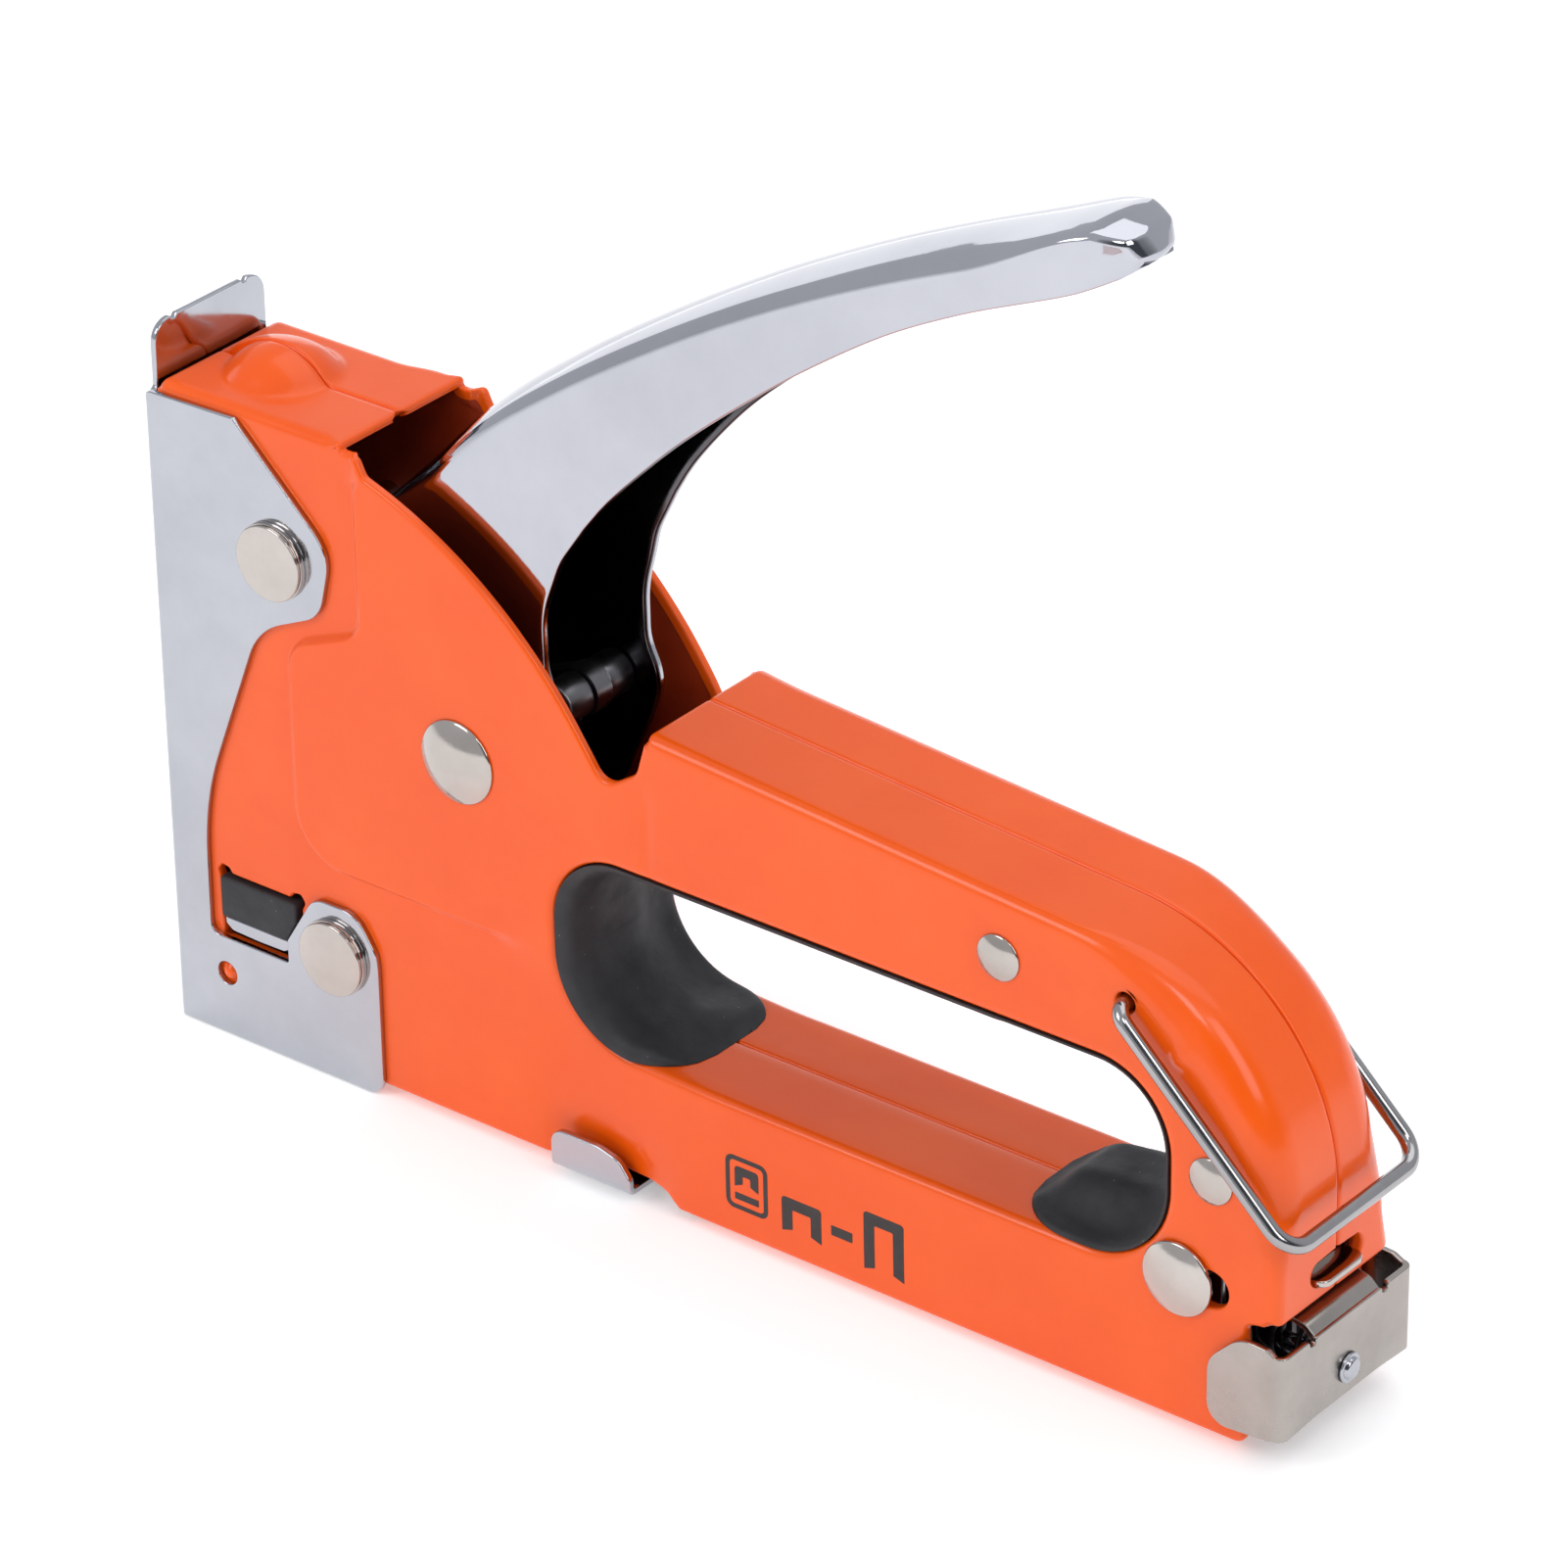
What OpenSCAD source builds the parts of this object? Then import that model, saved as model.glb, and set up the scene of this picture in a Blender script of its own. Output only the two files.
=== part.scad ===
// Hand staple gun, light duty, for 11.4 mm crown staples with 4 to 8 mm legs.
// X runs from the nose to the rear, Z is up, Y = 0 is the plane between the two shells.
// The origin is where a staple leaves the nose, on the face that is pressed on the work.

/* [Body] */
// Height of the nose above the working face
nose_h = 83.8; // [83:0.1:85]
// Outer half width of the raised panels, the grip and the lower bar
body_half_w = 11.1; // [10.9:0.1:11.3]
// Outer half width of the nose, under the nose plate
nose_half_w = 10.3; // [10.2:0.1:10.4]
// Thickness of the shell sheet
shell_t = 1.2; // [1.0:0.1:1.2]
// Height of the shells' lower edge above the working face
base_z = 1.2; // [1.0:0.1:1.4]
// Distance from the nose to the rear wall of the shells
body_len = 158.2; // [158:0.1:158.4]

/* [Nose plate] */
// Thickness of the plated nose sheet
plate_t = 0.8; // [0.7:0.05:0.8]
// Height of the front tab above the working face
tab_h = 90.0; // [88:0.5:92]

/* [Lever] */
// Height of the lever's pivot
pivot_z = 49.2; // [49:0.1:49.4]
// Distance from the nose to the lever's pivot
pivot_x = 45.3; // [45.2:0.1:45.4]
// Outer half width of the lever
lever_half_w = 7.0; // [6.8:0.1:7.0]
// Thickness of the lever sheet
lever_t = 1.3; // [1.2:0.1:1.3]
// Radius of the pivot rivet's shaft
pivot_r = 3.0; // [2.9:0.05:3.1]

/* [Striker] */
// Distance from the nose to the main spring's axis
spring_x = 11.2; // [11.1:0.05:11.3]
// Height of the striker's underside at rest
striker_z = 22.0; // [21.9:0.1:22.2]
// Width of the driver blade, which is the staple's crown
crown_w = 11.2; // [11.0:0.1:11.3]

/* [Magazine] */
// Height of the guide rod
rod_z = 8.0; // [7.9:0.1:8.1]
// Radius of the guide rod
rod_r = 1.25; // [1.2:0.05:1.3]
// Outer half width of the magazine channel
channel_half_w = 7.3; // [7.2:0.1:7.4]

/* [Rear] */
// Total length to the back of the end cap
total_len = 160.0; // [160:0.1:160.4]
// Radius of the bail wire
bail_r = 0.95; // [0.9:0.05:0.95]
// Half width of the bail, to the middle of its wire
bail_half_w = 12.9; // [12.8:0.1:13.2]

/* [Hidden] */
$fn = 48;

orange = "orangered";
zinc = "lightsteelblue";
nickel = "silver";
steel = "slategray";
black = "#2b2b2d";

// Gap of a running fit, and gap between parts that pass each other
run_gap = 0.05;
pass_gap = 0.3;
// Half of the gap along the seam of the shells
seam_gap = 0.05;

pivot = [pivot_x, pivot_z];
pin_at = pivot + [9.7, 7.8];          // cross pin of the lever
grip_rivet_at = [[121.3, 50.6], [149.4, 33.1]];
nose_rivet_at = [[18.7, 66.4], [25.2, 16.8]];
magazine_pin_at = [145.4, 19.5];
bail_at = [137.9, 50.8];
slot_travel = 4.0;                    // how far the magazine slides back
pin_r = 1.5;                          // lever cross pin
sleeve_r = 2.7;
rivet_r = 2.0;                        // nose and grip rivets
magazine_pin_r = 2.0;
inner_y = body_half_w - shell_t;      // inner face of the raised panels
nose_inner_y = nose_half_w - shell_t;
blade_x = [0.6, 1.5];                 // front and back face of the driver blade

// ---- outlines in the X-Z plane ----

// Replaces each corner [x, z, r] of a closed outline by an arc of radius r.
function fillet(p, q, s, n) =
    let (u = (p - q) / norm(p - q), v = (s - q) / norm(s - q),
         half = acos(u * v) / 2, mid = (u + v) / norm(u + v))
    function (r) r <= 0.01 ? [q] :
        let (c = q + mid * r / sin(half), t = r / tan(half),
             a = q + u * t - c, b = q + v * t - c,
             turn = acos(max(-1, min(1, a * b / r / r))),
             side = a[0] * b[1] - a[1] * b[0] > 0 ? 1 : -1)
        [for (i = [0:n]) let (w = side * turn * i / n)
            c + [a[0] * cos(w) - a[1] * sin(w), a[0] * sin(w) + a[1] * cos(w)]];

function rounded(path, n = 8) = [
    for (i = [0:len(path) - 1])
        let (k = len(path), p = path[(i + k - 1) % k], q = path[i], s = path[(i + 1) % k])
        each fillet([p[0], p[1]], [q[0], q[1]], [s[0], s[1]], n)(q[2])
];

// Moves an anticlockwise outline of [x, z, r] corners inwards by d, or outwards if d is negative.
function inset(path, d) = [
    for (i = [0:len(path) - 1])
        let (k = len(path), p = path[(i + k - 1) % k], q = path[i], s = path[(i + 1) % k],
             u = [q[0] - p[0], q[1] - p[1]], v = [s[0] - q[0], s[1] - q[1]],
             nu = [-u[1], u[0]] / norm(u), nv = [-v[1], v[0]] / norm(v), m = nu + nv,
             corner = [q[0], q[1]] + m * 2 * d / (m * m),
             left_turn = u[0] * v[1] - u[1] * v[0] > 0)
        [corner[0], corner[1], max(0, left_turn ? q[2] - d : q[2] + d)]
];

// An X-Z outline as a plate from y0 to y1.
module plate(y0, y1) {
    translate([0, y1, 0]) rotate([90, 0, 0]) linear_extrude(y1 - y0) children();
}
// The same plate on both sides of the middle plane.
module both_sides(y0, y1) {
    plate(y0, y1) children();
    plate(-y1, -y0) children();
}
// A round rod along Y with its middle at [x, z].
module rod_y(at, r, y0, y1) {
    translate([at[0], y1, at[1]]) rotate([90, 0, 0]) cylinder(h = y1 - y0, r = r);
}
// A round rod along X.
module rod_x(y, z, r, x0, x1) {
    translate([x0, y, z]) rotate([0, 90, 0]) cylinder(h = x1 - x0, r = r);
}
// A box given by its low and high corners.
module block(lo, hi) {
    translate(lo) cube(hi - lo);
}
// A low dome along Y, with its flat foot at y and its crown outwards.
module dome(at, r, h, y, side) {
    sphere_r = (r * r + h * h) / (2 * h);
    translate([at[0], y, at[1]]) rotate([-90 * side, 0, 0]) intersection() {
        translate([0, 0, h - sphere_r]) sphere(r = sphere_r, $fn = 96);
        cylinder(h = h + 1, r = r + 1);
    }
}
// A coil spring along Z, as one swept ring of turns.
module coil(r, wire, length, turns, steps = 14, sides = 6) {
    n = ceil(turns * steps);
    rise = length - wire;
    points = [for (i = [0:n]) let (a = 360 * turns * i / n, z = wire / 2 + rise * i / n)
        for (j = [0:sides - 1]) let (w = 360 * j / sides, q = r + wire / 2 * cos(w))
            [q * cos(a), q * sin(a), z + wire / 2 * sin(w)]];
    corner = function (i, j) i * sides + j % sides;
    walls = [for (i = [0:n - 1]) for (j = [0:sides - 1])
        each [[corner(i + 1, j), corner(i, j + 1), corner(i, j)],
              [corner(i + 1, j), corner(i + 1, j + 1), corner(i, j + 1)]]];
    caps = [for (j = [1:sides - 2])
        each [[corner(0, 0), corner(0, j), corner(0, j + 1)],
              [corner(n, 0), corner(n, j + 1), corner(n, j)]]];
    polyhedron(points, concat(walls, caps));
}

// Outer profile of the shells, anticlockwise seen from the left side.
body_path = [
    [1.0, base_z, 0.5], [154.2, base_z, 1.5], [154.2, 16.8, 1], [body_len, 17.6, 0.6],
    [body_len, 55.6, 28], [73.2, 61.4, 0.8], [71.6, 55.6, 2.4], [66.7, 52.6, 2.2],
    [51.6, 74.6, 58], [33.2, 81.2, 1.2], [29.4, nose_h, 0.8], [1.0, nose_h, 2.5]
];
// Finger hole in the shells.
hole_path = [
    [58.6, 18.4, 11], [143.6, 18.4, 11], [143.6, 43.0, 9.5], [58.6, 43.0, 9.5]
];
// Edge of the raised panel: everything behind and above it stands proud of the nose.
panel_path = [
    [19.8, 28.2, 7], [70, 28.2, 3], [70, -5, 0], [170, -5, 0], [170, 90, 0],
    [30.9, 90, 0], [30.9, 60.5, 3.5], [19.8, 56.0, 5]
];

module body_outline() { polygon(rounded(body_path)); }
module body_core() { polygon(rounded(inset(body_path, shell_t))); }
module hole_outline() { polygon(rounded(hole_path)); }
module panel_outline() { polygon(rounded(panel_path)); }
module slot_outline(at, r, travel) {
    translate(at) circle(r = r);
    translate(at + [travel, 0]) circle(r = r);
    translate(at - [0, r]) square([travel, 2 * r]);
}

// Parts of the rim where the sheet is turned in as far as the seam.
module rim_regions() {
    translate([0, nose_h - 4]) square([28.9, 10]);
    translate([73.1, 44]) square([100, 30]);
    translate([154.5, 17]) square([10, 40]);
}

// Left shell, at negative Y. The right one is its mirror image.
module shell() {
    difference() {
        union() {
            // side wall of the nose, and of the raised panel around and behind it
            plate(-nose_half_w, -nose_inner_y) difference() {
                body_outline();
                polygon(rounded(inset(panel_path, 1.4)));
            }
            plate(-body_half_w, -inner_y) intersection() {
                body_outline();
                panel_outline();
            }
            plate(-nose_half_w, -inner_y) intersection() {
                body_outline();
                panel_outline();
            }
            // rim turned in to the seam
            plate(-nose_inner_y - 0.1, -seam_gap) intersection() {
                difference() { body_outline(); body_core(); }
                rim_regions();
            }
            plate(-inner_y - 0.1, -seam_gap) intersection() {
                difference() { body_outline(); body_core(); }
                translate([73.1, 17]) square([100, 60]);
            }
            // lip of the finger hole
            plate(-inner_y - 0.1, -seam_gap) polygon(rounded(inset(hole_path, -shell_t)));
            // lower flange beside the magazine
            block([32, -body_half_w + 0.4, base_z], [150, -channel_half_w - pass_gap, base_z + 1.0]);
            // guide behind the driver blade
            block([1.9, -nose_half_w + 0.4, 15], [3.1, -4.6, nose_h - 0.6]);
            // dome over the main spring
            intersection() {
                translate([spring_x, 0, nose_h - 4.4]) sphere(r = 8.0, $fn = 64);
                block([0, -9, nose_h - 0.6], [30, -seam_gap, nose_h + 4]);
            }
        }
        plate(-20, 1) hole_outline();
        // window for the rubber bumper and its plate
        plate(-12, -8) polygon(rounded([[6.9, 12.7, 0.4], [19.3, 12.7, 0.4],
            [19.3, 21.8, 0.9], [6.9, 21.8, 0.9]], 3));
        // hollow under the dome
        translate([spring_x, 0, nose_h - 4.4]) sphere(r = 6.8, $fn = 64);
        // cut-out for the magazine's side lug, with room for its travel
        block([57.0, -20, -1], [75.4, -channel_half_w - 0.1, base_z + 1.8]);
        // bores for the rivets, and the slot for the magazine pin
        rod_y(pivot, pivot_r, -20, 1);
        for (at = nose_rivet_at) rod_y(at, rivet_r, -20, 1);
        for (at = grip_rivet_at) rod_y(at, rivet_r, -20, 1);
        rod_y(bail_at, bail_r + 0.25, -20, 1);
        plate(-20, -8) slot_outline(magazine_pin_at, magazine_pin_r + 0.25, slot_travel + 0.4);
        // thumb slot in the rear wall
        block([154, -4.6, 19.2], [165, 4.6, 22.6]);
    }
}
module left_shell() { color(orange) shell(); }
module right_shell() { color(orange) mirror([0, 1, 0]) shell(); }

// Bright sheet wrapped round the nose: front wall with its tab, and two wings.
wing_path = [
    [-0.4, 0, 0.8], [31.6, 0, 2.2], [31.6, 16.9, 0], [31.4, 19.0, 4],
    [28.6, 23.4, 4], [22.0, 23.4, 3], [17.6, 16.2, 0.4], [17.6, 13.2, 0.3],
    [5.4, 13.2, 1.4], [5.6, 31, 40], [15.5, 56.5, 10], [25.2, 61.0, 4.6],
    [27.2, 69.6, 5.4], [13.4, 82.7, 1.4], [-0.4, 82.7, 0.6]
];
module nose_plate() {
    half = nose_half_w + plate_t;
    color(zinc) difference() {
        union() {
            both_sides(nose_half_w, half) polygon(rounded(wing_path));
            block([-0.4, -half, 0], [plate_t - 0.4, half, 82.7]);
            // tab above the nose, with rounded corners
            translate([-0.4, 0, 0]) rotate([90, 0, 90]) linear_extrude(plate_t)
                polygon(rounded([[-9.3, 82, 0], [9.3, 82, 0], [9.3, tab_h, 3], [-9.3, tab_h, 3]]));
        }
        for (at = nose_rivet_at) rod_y(at, rivet_r, -20, 20);
        rod_y([7.7, 8.3], 1.5, -20, 20);
    }
}

// Two rivets hold the nose plate, one above the other; each has a head at both ends.
module nose_rivets() {
    plate_y = nose_half_w + plate_t;
    color(nickel) for (at = nose_rivet_at) {
        rod_y(at, rivet_r, -plate_y, plate_y);
        for (side = [-1, 1]) {
            rod_y(at, 4.8, min(side * plate_y, side * (plate_y + 1.0)),
                max(side * plate_y, side * (plate_y + 1.0)));
            dome(at, 4.6, 0.5, side * (plate_y + 1.0), side);
        }
    }
}
// A domed rivet from side to side of the body.
module domed_rivet(at, shaft, head, height) {
    rod_y(at, shaft, -body_half_w, body_half_w);
    for (side = [-1, 1]) dome(at, head, height, side * body_half_w, side);
}
module pivot_rivet() { color(nickel) domed_rivet(pivot, pivot_r, 5.2, 1.8); }
module grip_rivets() {
    color(nickel) for (at = grip_rivet_at) domed_rivet(at, rivet_r, 2.8, 1.0);
}
// Sleeves round the grip rivets keep the shells apart.
module spacer_sleeves() {
    color(steel) for (at = grip_rivet_at) difference() {
        rod_y(at, rivet_r + 1.2, -inner_y, inner_y);
        rod_y(at, rivet_r, -20, 20);
    }
}

// ---- lever and lifter ----

// Side view of the lever: the roof line runs back from its front corner.
lever_top = [[33.0, 77.2], [45.0, 89.6], [57.0, 99.0], [71.0, 108.6], [84.5, 116.8],
    [98.0, 123.8], [111.0, 129.7], [123.0, 134.4], [128.6, 136.0]];
lever_path = concat(
    [[47.0, 36.6, 9], [57.4, 44.0, 8], [60.0, 53.0, 6], [60.2, 59.6, 3], [55.2, 62.2, 4],
     [54.6, 69.5, 9], [60.4, 80.2, 6], [68.0, 88.6, 0], [81.9, 101.5, 0], [92.7, 110.2, 0],
     [103.2, 117.2, 0], [125.7, 127.4, 8], [134.4, 132.2, 1.2], [132.6, 135.4, 1.5]],
    [for (i = [len(lever_top) - 1:-1:0]) [lever_top[i][0], lever_top[i][1], 0]],
    [[30.6, 73.6, 2], [pivot_x - 9.2, pivot_z + 12, 20], [pivot_x - 8.2, pivot_z - 3, 7]]);
module lever_outline() { polygon(rounded(lever_path, 5)); }
module lever_inside() {
    difference() {
        polygon(rounded(inset(lever_path, lever_t), 5));
        // the roof stops short of the lower edge of the tip
        translate([0, 30]) square([31.6, 43]);
    }
}
module lever() {
    wall_y = lever_half_w - lever_t;
    color(nickel) difference() {
        union() {
            both_sides(wall_y, lever_half_w) lever_outline();
            plate(-wall_y - 0.1, wall_y + 0.1) intersection() {
                difference() { lever_outline(); lever_inside(); }
                polygon(concat([for (p = lever_top) p - [3.4, -3.4]], [[136, 142], [137, 130.6],
                    [131, 129.4]], [for (i = [len(lever_top) - 1:-1:1]) lever_top[i] + [1.2, -3.0]],
                    [[34.4, 74.2]]));
            }
        }
        rod_y(pivot, pivot_r + run_gap, -20, 20);
        rod_y(pin_at, pin_r, -20, 20);
    }
}
module lever_pin() {
    color(steel) rod_y(pin_at, pin_r, -lever_half_w - 0.6, lever_half_w + 0.6);
}
lifter_y = 1.3;                       // half thickness of the lifter
module lever_sleeves() {
    wall_y = lever_half_w - lever_t;
    color(steel) for (side = [-1, 1]) difference() {
        rod_y(pin_at, sleeve_r, side > 0 ? lifter_y : -wall_y, side > 0 ? wall_y : -lifter_y);
        rod_y(pin_at, pin_r, -20, 20);
    }
}
// The lifter turns with the lever. Its finger reaches forward under the striker's lug.
finger_len = 23.8;
finger_r = 1.6;
finger_angle = 19;                    // how far the finger points down at rest
finger_tip = pivot + finger_len * [-cos(finger_angle), -sin(finger_angle)];
module lifter() {
    color(steel) plate(-lifter_y, lifter_y) difference() {
        union() {
            translate(pivot) circle(r = 6.5);
            translate(pin_at) circle(r = 3.0);
            translate(finger_tip) circle(r = finger_r);
            polygon([finger_tip + [0.5, -finger_r + 0.1], pivot + [1, -6.4],
                pivot + [6.0, 2.4], pin_at + [2.0, -2.2], pin_at + [-1.8, 2.4],
                pivot + [-4.2, 4.9], finger_tip + [0.8, finger_r - 0.4]]);
        }
        translate(pivot) circle(r = pivot_r + run_gap);
        translate(pin_at) circle(r = pin_r);
    }
}
// Torsion spring round the pivot rivet, between the lifter and one cheek of the lever.
module lever_spring() {
    wall_y = lever_half_w - lever_t;
    room = wall_y - lifter_y - pass_gap;
    translate([pivot_x, wall_y - pass_gap / 2, pivot_z]) rotate([90, 0, 0])
        color(steel) coil(4.3, 0.8, room, 3, 14, 6);
}

// ---- striker group ----

lug_z = finger_tip[1] + finger_r + pass_gap;
module striker() {
    half_y = 7.3;
    color(steel) {
        difference() {
            block([spring_x - 7.5, -half_y, striker_z], [spring_x + 7.5, half_y, lug_z + 4]);
            translate([spring_x, 0, striker_z + 3]) cylinder(h = 60, r = 5.8);
        }
        // lug that the lifter raises, and neck that carries the blade
        block([spring_x + 7.0, -3.6, lug_z], [spring_x + 12.0, 3.6, lug_z + 4]);
        block([blade_x[1], -3.8, 30], [spring_x - 7.0, 3.8, lug_z]);
    }
}
module driver_blade() {
    color(zinc) block([blade_x[0], -crown_w / 2, 0.4], [blade_x[1], crown_w / 2, lug_z + 3]);
}
module main_spring() {
    top = nose_h - shell_t - 0.1;
    translate([spring_x, 0, striker_z + 3.1])
        color(zinc) coil(4.3, 1.6, top - striker_z - 3.1, 9.5, 16, 8);
}
module bumper() {
    half = body_half_w - pass_gap;
    color(black) plate(-half, half)
        polygon([[7.0, 15.7], [17.2, 15.7], [18.9, 18.7], [18.9, 21.2], [7.0, 21.2]]);
}
module bumper_plate() {
    color(zinc) block([7.3, -nose_half_w - 0.2, 13.9], [17.4, nose_half_w + 0.2, 15.7]);
}

// ---- magazine ----

channel_t = 0.9;
channel_top = 13.2;
module magazine_channel() {
    w = channel_half_w;
    inner = w - channel_t;
    color(zinc) difference() {
        union() {
            difference() {
                block([4.2, -w, base_z], [151, w, channel_top]);
                block([0, -inner, -5], [200, inner, channel_top - channel_t]);
            }
            // ears that hold the magazine pin
            both_sides(inner, w) {
                translate([142.5, channel_top - 1]) square([5.8, magazine_pin_at[1] - channel_top + 1]);
                translate(magazine_pin_at) circle(r = 2.9);
            }
            // finger lugs: out below the shells, then up outside them
            for (side = [-1, 1]) {
                lug_y = body_half_w + pass_gap;
                block([58.2, min(side * inner, side * (lug_y + channel_t)), base_z],
                      [69.8, max(side * inner, side * (lug_y + channel_t)), base_z + channel_t]);
                plate(min(side * lug_y, side * (lug_y + channel_t)),
                      max(side * lug_y, side * (lug_y + channel_t)))
                    polygon(rounded([[58.2, base_z, 0.3], [69.8, base_z, 0.3], [69.8, 4.2, 0.8],
                        [66.0, 6.4, 3], [58.2, 6.4, 1.6]], 5));
            }
        }
        rod_y(magazine_pin_at, magazine_pin_r, -20, 20);
    }
}
rail_half_w = 4.6;
rail_top = 11.0;
module staple_rail() {
    inner = rail_half_w - 0.8;
    color(steel) difference() {
        block([1.9, -rail_half_w, 1.6], [150, rail_half_w, rail_top]);
        block([-5, -inner, 2.4], [200, inner, 30]);
    }
}
module magazine_pin() {
    foot = body_half_w + 0.1;
    color(nickel) {
        rod_y(magazine_pin_at, magazine_pin_r, -foot, foot);
        for (side = [-1, 1]) {
            rod_y(magazine_pin_at, 4.5, min(side * foot, side * (foot + 0.5)),
                max(side * foot, side * (foot + 0.5)));
            dome(magazine_pin_at, 4.5, 1.1, side * (foot + 0.5), side);
        }
    }
}
// Pushes the staples along the rail; its tongue rides on the guide rod.
module follower() {
    color(zinc) difference() {
        union() {
            difference() {
                block([2.2, -5.7, 3.4], [11, 5.7, 12.1]);
                block([0, -rail_half_w - 0.2, 0], [20, rail_half_w + 0.2, rail_top + 0.2]);
            }
            block([6.2, -3.4, 4.4], [8.4, 3.4, 12.0]);
        }
        rod_x(0, rod_z, rod_r + run_gap, 0, 20);
    }
}
module feed_spring() {
    translate([8.6, 0, rod_z]) rotate([0, 90, 0])
        color(steel) coil(2.3, 0.6, total_len - 0.8 - 8.8, 27, 8, 5);
}
module guide_rod() {
    color(zinc) {
        rod_x(0, rod_z, rod_r, 4.6, total_len);
        rod_x(0, rod_z, 2.2, 4.6, 5.8);
        rod_x(0, rod_z, 1.8, total_len, total_len + 0.9);
    }
}
cap_path = [
    [150.0, 3.5, 2.6], [total_len, 4.4, 0.8], [total_len, 15.8, 0.6], [154.2, 15.8, 4], [150.0, 11.6, 3.5]
];
module end_cap() {
    w = 12.3;
    color(nickel) difference() {
        union() {
            both_sides(w - plate_t, w) polygon(rounded(cap_path));
            block([total_len - plate_t, -w, 4.4], [total_len, w, 15.0]);
            // spring tongue that slips in under the rear wall
            plate(-6.2, 6.2) polygon([[total_len, 14.2], [total_len, 15.2], [158.6, 16.2], [153.6, 16.6],
                [153.6, 15.8], [158.4, 15.3], [total_len - plate_t, 14.4]]);
        }
        rod_x(0, rod_z, rod_r, 150, 170);
    }
}
// Strip of spring steel behind the rear wall; its lip shows in the thumb slot.
module latch_spring() {
    color(nickel) {
        block([155.6, -4.2, 18.7], [156.3, 4.2, 31]);
        block([155.6, -4.0, 19.5], [159.4, 4.0, 20.3]);
    }
}

// ---- grip ----

// Space for the fingers inside the rubber liner. It is open along the lower bar.
finger_space = [
    [61.8, 21.6, 9.5], [81.4, 20.8, 2.5], [83.4, 16, 0], [121.6, 16, 0],
    [125.6, 22.4, 3], [142.4, 24.6, 8], [142.4, 41.9, 8.4], [61.8, 41.9, 8.4]
];
module grip_liner() {
    half = body_half_w - 0.2;
    color(black) plate(-half, half) difference() {
        polygon(rounded(inset(hole_path, 0.02)));
        polygon(rounded(finger_space));
    }
}

// Wire bail: two legs and a crossbar, with its ends turned into the shells.
bail_angle = 43.5;                    // how far the legs point down at rest
bail_len = 31.6;
module bail() {
    leg = [bail_at[0] + bail_len * cos(bail_angle), bail_at[1] - bail_len * sin(bail_angle)];
    color(nickel) translate([bail_at[0], 0, bail_at[1]]) rotate([0, bail_angle, 0]) {
        for (side = [-1, 1]) {
            // leg, with ball corners, and the turned-in end
            translate([0, side * bail_half_w, 0]) rotate([0, 90, 0]) cylinder(h = bail_len, r = bail_r);
            translate([0, side * bail_half_w, 0]) sphere(r = bail_r);
            translate([bail_len, side * bail_half_w, 0]) sphere(r = bail_r);
            rod_y([0, 0], bail_r, side > 0 ? 8.6 : -bail_half_w, side > 0 ? bail_half_w : -8.6);
        }
        rod_y([bail_len, 0], bail_r, -bail_half_w, bail_half_w);
    }
}

left_shell();
right_shell();
nose_plate();
nose_rivets();
pivot_rivet();
grip_rivets();
spacer_sleeves();
lever();
lever_pin();
lever_sleeves();
lifter();
lever_spring();
striker();
driver_blade();
main_spring();
bumper();
bumper_plate();
magazine_channel();
staple_rail();
magazine_pin();
follower();
feed_spring();
guide_rod();
end_cap();
latch_spring();
grip_liner();
bail();
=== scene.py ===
"""Looks of the hand staple gun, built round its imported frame. Lengths in the tables are millimetres."""
import math

import bmesh
import bpy
import numpy as np
from mathutils import Matrix, Vector
from mathutils.geometry import delaunay_2d_cdt


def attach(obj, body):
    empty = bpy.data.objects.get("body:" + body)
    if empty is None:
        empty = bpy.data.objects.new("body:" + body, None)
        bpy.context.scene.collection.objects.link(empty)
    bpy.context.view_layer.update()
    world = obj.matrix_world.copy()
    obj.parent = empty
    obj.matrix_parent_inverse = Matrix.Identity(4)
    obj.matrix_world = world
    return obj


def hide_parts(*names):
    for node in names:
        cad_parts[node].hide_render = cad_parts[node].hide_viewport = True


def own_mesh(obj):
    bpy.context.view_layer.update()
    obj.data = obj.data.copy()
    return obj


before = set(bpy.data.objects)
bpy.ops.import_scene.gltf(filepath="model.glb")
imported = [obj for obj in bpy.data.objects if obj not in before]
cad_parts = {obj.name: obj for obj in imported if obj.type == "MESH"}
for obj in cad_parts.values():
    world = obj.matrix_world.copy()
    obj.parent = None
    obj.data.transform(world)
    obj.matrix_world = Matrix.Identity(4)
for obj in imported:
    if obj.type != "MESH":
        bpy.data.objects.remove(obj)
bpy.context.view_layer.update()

MM = 0.001


# ---------------------------------------------------------------- outlines

def smoothstep(a, b, x):
    t = np.clip((np.asarray(x, float) - a) / (b - a), 0, 1)
    return t * t * (3 - 2 * t)


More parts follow.
